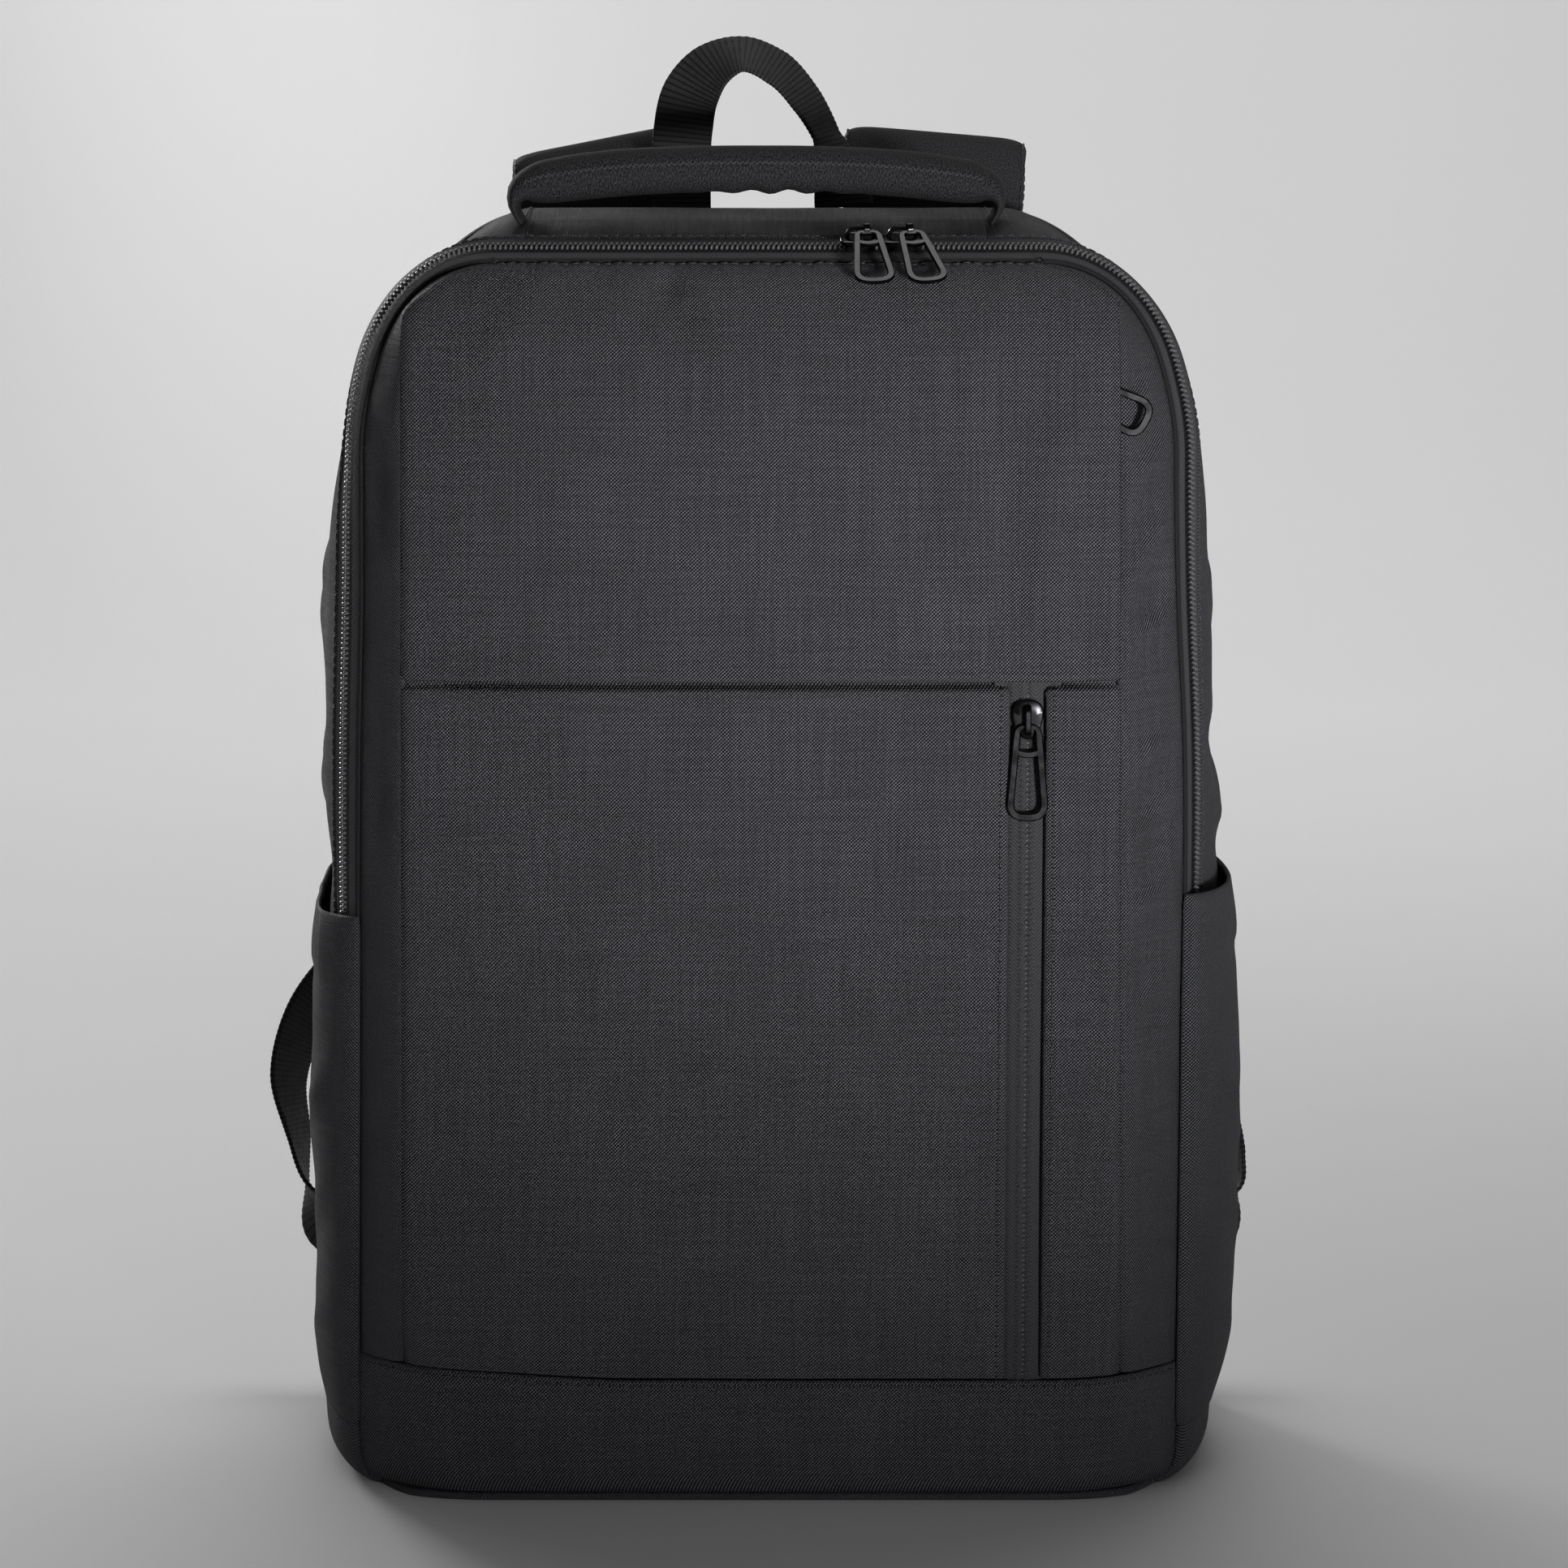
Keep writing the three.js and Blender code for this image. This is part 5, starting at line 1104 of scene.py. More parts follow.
def facet_grid(side, seed):
    """The slanted strip from a front crease to the zip seam: a straight slope, dented and folded in its
    middle, tucked in at both edges, and bent to the band at its foot."""
    z, depth, run = lid_rows(BAND_TOP - BEHIND.overlap, LID["top"], cell_size())
    crease = crease_x(side, z)
    wide = leaned(side * half_width(LID, z), LID_SEAM_Y, z) - crease
    columns = max(int(round(np.abs(wide).max() / (FACET.cell * cell_size()))), 6)
    at = np.linspace(0, 1, columns + 1)[None, :]
    x = crease + wide * at
    middle = np.sin(np.pi * at) * depth / FRONT_DEPTH
    opens = ramp(z, SLIT.low, SLIT.low + SLIT.ease) * (1 - ramp(z, SLIT.high - SLIT.ease, SLIT.high))
    slit = SLIT.deep * opens * (1 - at) * (side > 0)
    rise = folds(FACET_FOLDS, x, z) + uneven(x * 2, run, seed, UNEVEN.facet)
    tucked = FACET.tuck * np.clip(1 - at * wide * side / FACET.tuck_reach, 0, 1)
    tucked = tucked + FACET.dip * np.clip(1 - (1 - at) * wide * side / FACET.dip_reach, 0, 1) ** 2
    y = LID_SEAM_Y - depth * (1 - at) + slit + (dents(FACET_DENTS, x, z) - rise) * middle
    y = y + tucked * np.minimum(1, depth / FACET.roll)
    y = y + band_tuck(z) + (band_bend(x) - FRONT_DEPTH * at) * band_ease(z)
    return stacked(x, y, z + band_rise(x, z)), stacked(run_over(x, y, 1), run)


class BACKPACK_OT_front(Operator):
    """Makes the upper and lower front, the strip beside the front zip, and their topstitching."""
    bl_idname = "backpack.front"
    bl_label = "Front"

    def execute(self, context):
        low, left, right = BAND_TOP - BEHIND.overlap, crease_edge(-1), crease_edge(1)
        upper, _ = made = face_grid(TUCK_LOW, LID["top"], left, right, FRONT_FOLDS, lip, 11)
        panel("front_upper", "front_face_upper", *made, CLOTH, oxford("front"), "cloth", ["main_zip_tape"])
        lower, _ = made = face_grid(low, TUCK_HIGH, left, window_edge(-1), LOWER_FOLDS, furrow, 12)
        panel("front_lower", "front_face_lower", *made, CLOTH, oxford("front"), "cloth", ["bottom_band"])
        strip, _ = made = face_grid(low, TUCK_HIGH, window_edge(1), right, LOWER_FOLDS, furrow, 13)
        panel("front_strip", "front_zip_strip", *made, CLOTH, oxford("front"), "cloth", ["bottom_band"])
        window = SEAM_IN.window
        lines = [line_across(upper, SEAM_IN.zip, True), line_up(lower, window, True),
                 line_up(strip, window)]
        sew("front_stitches", lines)
        return {"FINISHED"}


class BACKPACK_OT_facets(Operator):
    """Makes the two slanted strips beside the front face."""
    bl_idname = "backpack.facets"
    bl_label = "Slanted strips"

    def execute(self, context):
        for name, side in SIDES.items():
            grid, uv = facet_grid(side, 20 + side)
            # The slanted strips take the darker side cloth, painted shade beside the front.
            panel(f"facet_{name}", f"front_facet_{name}", grid, uv, CLOTH, oxford("side"), "cloth",
                  ["main_zip_tape"])
        return {"FINISHED"}


# The bottom, the sides and the top


def side_reach(y, half):
    """Plan of the low sides: in at both seams and out to a half width between, as a sine to a low power,
    and never inside the side walls."""
    reach = share_of(y, POCKET.front_y, POCKET.back_y)
    edge = POCKET.front_half + (POCKET.back_half - POCKET.front_half) * reach
    swelled = edge + (half - edge) * np.maximum(np.sin(np.pi * reach), 0) ** POCKET.power
    wall = np.interp(y, GUSSET_Y, GUSSET["half"]) + POCKET_CLOTH + SEAM_GAP
    return np.where(y < GUSSET_FRONT_Y, swelled, np.maximum(swelled, wall))


def band_grid():
    """The low front band: it stands out by height, and bends back at its ends along a power of the
    distance."""
    fine_from = BAND_TOP - FINE_REACH
    z = np.linspace(BAND.low, fine_from, int((fine_from - BAND.low) / cell_size()) + 2, endpoint=False)
    z = np.concatenate([z, np.arange(fine_from, BAND_TOP + 0.1, FINE_STEP)])[:, None]
    half = BAND.half - smooth_table(z, BAND_Z, BAND_END_IN)
    x = half * np.sin((np.linspace(0, 1, BAND.columns) - 0.5) * np.pi)
    bent = share_of(np.abs(x), BAND.bend_half, half)
    depth = LID_SEAM_Y - FRONT_DEPTH - smooth_table(z, BAND_Z, BAND_OUT) - BAND.end_y
    middle = np.sin(np.pi * share_of(z, BAND.low, BAND_TOP))
    wave = uneven(x, 2 * z, 31, UNEVEN.band) * middle + pucker(x, BAND_TOP - z, *BAND_PUCKER)
    rolled = BAND.roll * np.clip(1 - (BAND_TOP - z) / BAND.roll_reach, 0, 1) ** 2
    y = BAND.end_y + depth * (1 - bent ** BAND.power) - wave * (1 - bent) + rolled
    return stacked(x, y, z + band_rise(x, z)), stacked(run_over(x, y, 1), z)


def base_grid():
    """The floor of the bag: flat, turned up at both sides along its table, its front edge bent as the
    band's."""
    knots = np.arange(len(BASE_X))
    fold = np.linspace(0, knots[-1], BASE.rows)
    x = smooth_table(fold, knots, BASE_X)
    z = np.maximum(smooth_table(fold, knots, BASE_Z), 0.0)
    x = np.concatenate([-x[:0:-1], x])[:, None]
    z = np.concatenate([z[:0:-1], z])[:, None]
    bent = share_of(np.abs(x), BAND.bend_half, BAND.half)
    front = BASE.front_y + (BASE.flange_y - BASE.front_y) * bent ** BAND.power
    y = front + (GUSSET_BACK_Y - front) * eased(BASE.columns)
    beyond = np.maximum(np.abs(x) - BASE.flat_half, 0)
    reach = (side_reach(y, BASE.flange_half) - BASE.flat_half) / (BASE.flange_half - BASE.flat_half)
    wide = x + np.sign(x) * beyond * (reach - 1)
    return stacked(wide, y, z), stacked(wide + np.sign(x) * z, y)


def wall_rows():
    """Depths over a side or top wall, and how free its cloth is there: a half sine between its two
    seams."""
    y = np.linspace(GUSSET_FRONT_Y, GUSSET_BACK_Y, int(WALL.deep / cell_size()) + 1)
    return y, np.sin(np.pi * share_of(y, GUSSET_FRONT_Y, GUSSET_BACK_Y))


def gusset_grid(name, end_x, seed):
    """A side wall: at each depth an arch from the floor to the handle's foot, dented and folded on its
    side."""
    side = SIDES[name]
    y, free = wall_rows()
    outline = {key: smooth_table(y, GUSSET_Y, GUSSET[key]) for key in GUSSET}
    rows = [int(part / cell_size()) for part in (WALL.side, WALL.corner)]
    x, z = arch_line(outline, SIDE_LOW, *rows, abs(end_x), WALL.top_rows)
    along = side * (y - SIDE_FOLD_MIDDLE) + SIDE_FOLD_MIDDLE
    rise = folds(SIDE_FOLDS, along, z) + uneven(y, z, seed, UNEVEN.side) - dents(SIDE_DENTS[name], y, z)
    x = leaned(side * (x + rise * free), y, z)
    return stacked(x, y, z), stacked(y, run_over(x, z, 0))


def top_grid():
    """The strip of the top between the handle's feet: as high as the side walls, and slack in the
    middle."""
    y, free = (part[:, None] for part in wall_rows())
    columns = int((FOOT_RIGHT - FOOT_LEFT) / cell_size()) + 1
    x = np.linspace(FOOT_LEFT + SEAM_GAP / 2, FOOT_RIGHT - SEAM_GAP / 2, columns)
    z = smooth_table(y, GUSSET_Y, GUSSET["top"]) + uneven(x, y, 41, UNEVEN.top) * free
    return stacked(x, y, z), stacked(x, y)


def pocket_grid(name, seed):
    """A side pocket: its plan swells between its two seams, its mouth sags, and a hem stands a little
    proud."""
    side, mouth = SIDES[name], MOUTH[name]
    y = POCKET.front_y + (POCKET.back_y - POCKET.front_y) * eased(POCKET.columns)
    at = np.linspace(0, 1, int(POCKET.tall / cell_size()) + 1)[:, None]
    back = (y - POCKET.front_y) / (POCKET.back_y - POCKET.front_y)
    bow = np.sin(np.pi * back)
    top = mouth.front + (mouth.back - mouth.front) * back - mouth.sag * bow
    z = POCKET.low + (top - POCKET.low) * at
    reach = side_reach(y[None, :], smooth_table(at, POCKET_AT, POCKET_HALF[name]))
    below = ramp(top - z, HEM.tall - HEM.above, HEM.tall + HEM.below)
    rise = folds(POCKET_FOLDS, y, z) * below - HEM.dip * below * (1 - below)
    rise = rise + uneven(y, z, seed, UNEVEN.pocket)
    hem = HEM.proud * ramp(z, top - HEM.tall - HEM.edge, top - HEM.tall + HEM.edge)
    x = reach + (rise * POCKET.slack + hem) * bow ** POCKET.free_power
    run = run_of(stacked(reach[0], y))
    return stacked(leaned(side * x, y, z), y, z), stacked(run, z)


class BACKPACK_OT_bottom(Operator):
    """Makes the low front band and the floor of the bag."""
    bl_idname = "backpack.bottom"
    bl_label = "Bottom"

    def execute(self, context):
        grid, uv = band_grid()
        panel("low_band", "bottom_band", grid, uv, CLOTH, oxford("front"), "cloth", ["base_panel"])
        panel("floor_panel", "base_panel", *base_grid(), BASE_CLOTH, oxford("side"), "base_cloth",
              ["bottom_band"])
        sew("band_stitches", [line_across(grid, SEAM_IN.band, True, 0.02, 0.98)])
        return {"FINISHED"}


class BACKPACK_OT_sides(Operator):
    """Makes the side walls, the strip of the top, and the topstitching along the zip."""
    bl_idname = "backpack.sides"
    bl_label = "Sides and top"

    def execute(self, context):
        lines = []
        ends = dict(left=FOOT_LEFT - SEAM_GAP / 2, right=FOOT_RIGHT + SEAM_GAP / 2)
        for name, side in SIDES.items():
            grid, uv = gusset_grid(name, ends[name], 50 + side)
            panel(f"side_{name}", f"gusset_{name}", grid, uv, CLOTH, oxford("side"), "side_cloth",
                  ["base_panel", "back_panel"])
            lines += [line_up(grid, SEAM_IN.zip), line_across(grid, SEAM_IN.foot, True, 0.05, 0.95)]
        grid, uv = top_grid()
        panel("top_strip", "top_panel", grid, uv, CLOTH, oxford("side"), "side_cloth",
              ["gusset_left", "gusset_right"])
        sew("side_stitches", lines + [line_across(grid, SEAM_IN.zip)])
        return {"FINISHED"}


class BACKPACK_OT_pockets(Operator):
    """Makes the two open side pockets with their hems."""
    bl_idname = "backpack.pockets"
    bl_label = "Side pockets"

    def execute(self, context):
        for name, side in SIDES.items():
            grid, uv = pocket_grid(name, 60 + side)
            panel(f"pocket_{name}", f"side_pocket_{name}", grid, uv, POCKET_CLOTH, oxford("side"),
                  "side_cloth", [f"gusset_{name}", "base_panel"])
        return {"FINISHED"}


# Padded pieces


def places_of(mesh):
    """The places of a mesh's vertices as rows."""
    flat = np.empty(3 * len(mesh.vertices), dtype=np.float32)
    mesh.vertices.foreach_get("co", flat)
    return flat.reshape(-1, 3)


def swell(piece, pinned=()):
    """Swells a padded mesh with cloth under pressure, gravity off, and caps how far each point may move.
    Returns its points in millimetres."""
    scene, mesh = bpy.context.scene, piece.data
    pads = scene.backpack_pads
    rest = places_of(mesh)
    cloth = piece.modifiers.new("swell", "CLOTH")
    settings = cloth.settings
    settings.quality = 6
    settings.mass = 0.3
    settings.tension_stiffness = 25.0
    settings.compression_stiffness = 25.0
    settings.bending_stiffness = 1.5
    settings.use_pressure = True
    settings.uniform_pressure_force = pads.pressure
    settings.effector_weights.gravity = 0.0
    if len(pinned):
        group = piece.vertex_groups.new(name="held")
        group.add([int(k) for k in pinned], 1.0, "REPLACE")
        settings.vertex_group_mass = "held"
    cloth.point_cache.frame_start = 1
    cloth.point_cache.frame_end = pads.frames
    for number in range(1, pads.frames + 1):
        scene.frame_set(number)
    shift = places_of(piece.evaluated_get(bpy.context.evaluated_depsgraph_get()).data) - rest
    far = np.linalg.norm(shift, axis=1, keepdims=True)
    shift *= np.minimum(1.0, pads.most / np.maximum(far, 1e-9))
    piece.modifiers.remove(cloth)
    piece.vertex_groups.clear()
    scene.frame_set(1)
    done = rest + shift
    mesh.vertices.foreach_set("co", done.ravel())
    mesh.update()
    return done / MM


def soften(piece):
    """Adds one smooth subdivision."""
    made = piece.modifiers.new("smooth", "SUBSURF")
    made.levels = made.render_levels = 1


def back_grids():
    """The padded back: rear and front grids, as wide as its outline, rounded at the foot, swelling to the
    rear."""
    up = eased(PAD.rows)[:, None]
    z = PAD.low + (BACK["top"] - PAD.low) * up
    low = share_of(z, PAD.low + PAD.low_round, PAD.low)
    half = half_width(BACK, z) - PAD.low_round * (1 - np.sqrt(1 - low * low))
    across = np.sin((np.linspace(0, 1, PAD.columns) - 0.5) * np.pi)
    x = across * half
    rise = PAD.swell * (1 - across ** 4) * (1 - (2 * up - 1) ** 6)
    return stacked(x, BACK_FRONT_Y + PAD.rim + rise, z), stacked(x, BACK_FRONT_Y, z), stacked(x, z)


def ribbon_frame(table, step):
    """A ribbon's middle line in even steps, its way across, its way through, its distance along, and a
    reader of the table's other columns: each column is read against the distance between its rows."""
    knots = run_of(stacked(table["x"], table["y"], table["z"]).astype(float))
    fine = np.linspace(0, knots[-1], int(knots[-1] / step) + 1)
    read = lambda key: smooth_table(fine, knots, table[key])
    middle = stacked(read("x"), read("y"), read("z"))
    along = unit(np.gradient(middle, axis=0))
    across = stacked(*(np.interp(fine, knots, table[f"across_{axis}"]) for axis in "xyz"))
    across = squared_to(along, across)
    return middle, across, np.cross(along, across), run_of(middle), read


def strap_table(name):
    """The shoulder strap's table for one side: mirrored, tilted and lowered as that strap is."""
    side, count = SIDES[name], len(STRAP["x"])
    table = dict(STRAP, x=side * np.array(STRAP["x"]), z=np.array(STRAP["z"]) - STRAP_LOWER[name])
    table.update(across_x=np.ones(count), across_y=np.zeros(count),
                 across_z=np.full(count, side * STRAP_TILT[name]))
    return table


def strap_rings(name):
    """The shoulder strap's rings: a flat rounded section along its line, closing at both ends."""
    middle, across, through, run, read = ribbon_frame(strap_table(name), STRAP_STEP)
    a, b = superellipse(*STRAP_SECTION)
    end = np.minimum(1, np.minimum(run, run[-1] - run) / STRAP_END)
    thick = read("thick") * np.sqrt(np.clip(1 - (1 - end) ** 2, 0.06, 1))
    rings = rings_along(middle, across, through, a * read("wide")[:, None] / 2, b * thick[:, None] / 2)
    return rings, run, a * STRAP_MAP_HALF


def ring_line(rings, k):
    """The line through one place of every ring but the end ones, with the surface's normals along it."""
    around = np.roll(rings, -1, axis=1) - np.roll(rings, 1, axis=1)
    normal = unit(np.cross(around, np.gradient(rings, axis=0))[2:-2, k])
    out = rings[2:-2, k] - rings[2:-2].mean(axis=1)
    return rings[2:-2, k], normal * np.sign((normal * out).sum())


class BACKPACK_OT_pads(Operator):
    """Makes the padded back and the two shoulder straps, swollen by cloth simulation."""
    bl_idname = "backpack.pads"
    bl_label = "Back and straps"

    def execute(self, context):
        rear, front, uv = back_grids()
        back = add_piece("back_pad", *closed_wall(rear, front, uv, PAD.edge))
        count = rear.shape[0] * rear.shape[1]
        loop, _ = edge_loop(*rear.shape[:2])
        solved = swell(back, np.concatenate([np.arange(count, 2 * count), loop]))
        dress(back, oxford("pad"), ["back_panel"])
        soften(back)
        shaped = solved[:count].reshape(rear.shape)
        lines = [line_up(shaped, away, from_end, 0.04, 0.9) for away in PAD_SEAMS
                 for from_end in (False, True)]
        cover = finish_named("strap_cover", felted, context.scene.backpack_cloth.strap)
        for name in SIDES:
            rings, run, around = strap_rings(name)
            strap = tube(f"strap_{name}", rings, run, around)
            solved = swell(strap).reshape(rings.shape)
            dress(strap, cover, [f"shoulder_strap_{name}"])
            soften(strap)
            lines += [ring_line(solved, k) for k in STRAP_SEAMS]
        sew("pad_stitches", lines)
        return {"FINISHED"}


def handle_rings(step):
    """The carry handle: an oval section along its arched line, pinched to flat feet, wavy below its
    middle."""
    centre = (FOOT_LEFT + FOOT_RIGHT) / 2
    half = (FOOT_RIGHT - FOOT_LEFT) / 2
    mirror = lambda key, sign: np.concatenate([sign * np.array(HANDLE[key])[:0:-1], np.array(HANDLE[key])])
    line = stacked(centre + half * mirror("along", -1), mirror("z", 1))
    knots = run_of(line)
    run = np.linspace(0, knots[-1], int(knots[-1] / step) + 1)
    x, z, tall = (smooth_table(run, knots, values)[:, None]
                  for values in (line[:, 0], line[:, 1], mirror("tall", 1)))
    along = unit(np.concatenate([np.gradient(x, axis=0), np.gradient(z, axis=0)], axis=1))
    angle = np.arange(GRIP.around) * 2 * np.pi / GRIP.around
    a, b = superellipse(GRIP.around, GRIP.flat, GRIP.square)
    middle = np.exp(-((x - GRIP.wave_x) / GRIP.wave_reach) ** 2)
    wave = GRIP.wave * middle * np.sin((x - GRIP.wave_x) / GRIP.wave_long) * np.clip(-b, 0, 1) ** 2
    loose = uneven(x, 6 * angle, 71, UNEVEN.handle) * ramp(tall, *GRIP.body)
    rise = b * tall / 2 * (1 + GRIP.loose * loose) + wave
    rings = stacked(x - along[:, 1:] * rise, GRIP.y + a * (GRIP.deep / 2 + loose), z + along[:, :1] * rise)
    return rings, run, GRIP.map_wide * angle / np.pi


class BACKPACK_OT_handle(Operator):
    """Makes the padded carry handle with its zigzag seam."""
    bl_idname = "backpack.handle"
    bl_label = "Carry handle"

    def execute(self, context):
        scene = context.scene
        stitch = scene.backpack_stitch
        rings, run, around = handle_rings(GRIP.step)
        piece = tube("handle", rings, run, around)
        cover = finish_named("handle_cover", felted, scene.backpack_cloth.handle)
        dress(piece, cover, ["carry_handle"])
        kept = rings[GRIP.ends:-GRIP.ends]
        seam = kept[:, GRIP.seam]
        row = zigzag(seam, unit(seam - kept.mean(axis=1)), stitch.zigzag / MM, stitch.high / MM)
        threads = thread("handle_stitches", [row], HANDLE_THREAD * stitch.width / MM)
        dress(threads, sewing_thread("handle_thread", stitch.handle))
        return {"FINISHED"}


# Webbing


def webbing_table(name):
    """The strap webbing's table for one side: straight out of the adjuster, then down to the bottom
    corner."""
    side, strap = SIDES[name], strap_table(name)
    ends = stacked(*(strap[key][-2:] for key in "xyz")).astype(float)
    along = unit(ends[1] - ends[0])
    across = -squared_to(along, np.array([1.0, 0.0, side * STRAP_TILT[name]]))
    top = LOCK_LONG + 2 * SEAM_GAP
    first = ends[1] + along * np.array([[top], [top + LOCK_TAIL]])
    lead = np.concatenate([first, [across, across]], axis=1)
    sign = dict(x=side, y=1, z=1, across_x=1, across_y=side, across_z=side)
    return {key: np.concatenate([lead[:, k], sign[key] * np.array(WEBBING[name][key])])
            for k, key in enumerate(sign)}


def webbing(name, node, table, width, held, sewn_to):
    """Flat webbing: a thin rounded section along its line, whose thickness ripples once every rib."""
    middle, across, through, run, _ = ribbon_frame(table, RIB.step)
    a, b = superellipse(*WEBBING_SECTION)
    thick = WEBBING_THICK * (1 + RIB.high * np.cos(2 * np.pi * run / RIB.pitch))
    rings = rings_along(middle, across, through, a * width / 2, b * thick[:, None] / 2)
    colour = bpy.context.scene.backpack_cloth.webbing
    material = finish_named("ribbed_webbing", ribbed, colour, RIB.pitch * MM)
    piece = dress(tube(name, rings, run, a * width / 2), material, [node])


class BACKPACK_OT_webbing(Operator):
    """Makes the hang loop, the strap webbing and the tabs that hold it to the back."""
    bl_idname = "backpack.webbing"
    bl_label = "Webbing"

    def execute(self, context):
        webbing("loop", "hang_loop", LOOP, LOOP_WIDTH, "stretched", "top_panel")
        s, t = np.meshgrid(np.linspace(0, 1, TAB.rows), np.linspace(0, 1, TAB.columns), indexing="ij")
        shares = ((1 - s) * (1 - t), s * (1 - t), s * t, (1 - s) * t)
        for name, side in SIDES.items():
            webbing(f"webbing_{name}", f"strap_webbing_{name}", webbing_table(name), WEBBING_WIDTH, "hung",
                    f"strap_tab_{name}")
            x = sum(share * side * corner for share, corner in zip(shares, TAB.x))
            z = sum(share * corner for share, corner in zip(shares, TAB.z))
            walls = closed_wall(stacked(x, TAB.y + TAB.thick, z), stacked(x, TAB.y, z), stacked(x, z),
                                TAB.rim)
            tab = dress(add_piece(f"tab_{name}", *walls), oxford("side"), [f"strap_tab_{name}"])
        return {"FINISHED"}


# Zips


def zip_line(y, low):
    """The whole zip at a depth: up the left side, over the top, down the right, sunk in behind the
    pockets."""
    x, z = (part[:, 0] for part in arch_line(tape_outline(y), low, end_x=0.0, **TAPE_POINTS))
    x = np.concatenate([-x, x[-2::-1]])
    z = np.concatenate([z, z[-2::-1]])
    mouth = MOUTH["left"].front
    sunk = TAPE_SUNK.deep * np.sign(x) * (1 - ramp(z, mouth - TAPE_SUNK.low, mouth - TAPE_SUNK.high))
    return stacked(leaned(x - sunk, y, z), y, z)


def zip_frame(low, step):
    """Even places along the main zip, the way along it, the way out of it and the way across it."""
    middle = even_steps(zip_line(COIL_Y, low), step)
    along = unit(np.gradient(middle, axis=0))
    back, front = (evenly(zip_line(y, low), len(middle))
                   for y in (COIL_Y + COIL_REACH, COIL_Y - COIL_REACH))
    across = squared_to(along, back - front)
    out = np.cross(along, across)
    out *= np.sign((out * (middle - CENTRE)).sum())
    return middle, along, out, across


class BACKPACK_OT_main_zip(Operator):
    """Makes the main zip: its tape and its double row of coil turns."""
    bl_idname = "backpack.main_zip"
    bl_label = "Main zip"

    def execute(self, context):
        columns, rows = TAPE_CELLS
        depths = np.linspace(TAPE_FRONT_Y, TAPE_BACK_Y, columns)
        grid = np.stack([evenly(zip_line(y, BAND_TOP + SEAM_GAP), rows) for y in depths], axis=1)
        uv = stacked(depths, run_of(grid[:, columns // 2])[:, None])
        # The chain and front seam depths give this tape painted shade along its chain and in its front seam
        # groove.
        twill = finish_named("herringbone_tape_painted_shade", twilled, context.scene.backpack_cloth.tape, *TWILL,
                             COIL_Y * MM, TAPE_FRONT_Y * MM)
        panel("zip_tape", "main_zip_tape", grid, uv, TAPE_CLOTH, twill, "zip_tape",
              ["gusset_left", "top_panel", "gusset_right"])
        middle, along, out, across = zip_frame(COIL.low, context.scene.backpack_zip.coil / MM / 2)
        sign = np.where(np.arange(len(middle)) % 2 == 0, -1.0, 1.0)[:, None]
        place = middle + across * sign * COIL.aside + out * (COIL.clear + COIL.rise)
        coil = beads("main_coil", place, unit(across + along * COIL.slant), out, COIL.turn)
        dress(coil, coil_nylon(), ["main_zip_coil"])
        return {"FINISHED"}


class BACKPACK_OT_front_zip(Operator):
    """Makes the upright front zip: its tape, the ribs of the coil behind it, and the chain down its
    middle."""
    bl_idname = "backpack.front_zip"
    bl_label = "Front zip"

    def execute(self, context):
        low, half = BAND_TOP + SEAM_GAP, FRONT_ZIP.tape_wide / 2
        across = np.linspace(-half, half, FRONT_ZIP.columns)
        z = np.linspace(low, TUCK_HIGH, FRONT_ZIP.rows)[:, None]
        ridge = sum(high * np.exp(-(across / wide) ** power) for high, wide, power in FRONT_RIDGES)
        twill = finish_named("front_zip_twill", twilled, context.scene.backpack_cloth.front_tape, *TWILL)
        panel("front_tape", "front_zip_tape", stacked(FRONT_ZIP.x + across, FRONT_ZIP.tape_y - ridge, z),
              stacked(across, z), TAPE_CLOTH, twill, "zip_tape", ["front_face_lower", "front_zip_strip"])
        step = context.scene.backpack_zip.back_coil / MM
        at = np.arange(low + FRONT_ZIP.coil_in, FRONT_ZIP.coil_top, step)
        out = np.tile(-Y_WAY, (len(at), 1))
        places = [stacked(FRONT_ZIP.x + side * FRONT_RIBS.aside, FRONT_ZIP.tape_y - FRONT_RIBS.rise, at)
                  for side in SIDES.values()]
        ways = [np.tile(unit(side * X_WAY + FRONT_RIBS.slant * Z_WAY), (len(at), 1))
                for side in SIDES.values()]
        ribs = beads("front_ribs", np.concatenate(places), np.concatenate(ways), np.tile(out, (2, 1)),
                     FRONT_RIBS.turn)
        dress(ribs, twill)
        place = stacked(FRONT_ZIP.x, FRONT_ZIP.tape_y - FRONT_COIL.rise, at + step / 2)
        coil = beads("front_coil", place, np.tile(X_WAY, (len(at), 1)), out, FRONT_COIL.turn)
        dress(coil, coil_nylon(), ["front_zip_coil"])
        return {"FINISHED"}


# Sliders and pulls


def turn(axis, degrees):
    """Matrix of a turn about axis 0, 1 or 2."""
    i, j = (axis + 1) % 3, (axis + 2) % 3
    c, s = np.cos(np.radians(degrees)), np.sin(np.radians(degrees))
    matrix = np.eye(3)
    matrix[i, i] = matrix[j, j] = c
    matrix[i, j], matrix[j, i] = -s, s
    return matrix


def joined(parts):
    """Several bodies as one set of points and faces."""
    starts = np.cumsum([0] + [len(points) for points, _ in parts[:-1]])
    points = np.concatenate([points for points, _ in parts])
    return points, np.concatenate([faces + start for (_, faces), start in zip(parts, starts)])


def bar(line, across, through, wide, thick, cut, closed=False):
    """A flat bar along a line: a section of eight points with its corners cut."""
    w, t = wide / 2, thick / 2
    a = np.array([-w + cut, w - cut, w, w, w - cut, -w + cut, -w, -w])
    b = np.array([-t, -t, -t + cut, t - cut, t, t, t - cut, -t + cut])
    return ring_body(rings_along(line, across, through, a, b), closed)


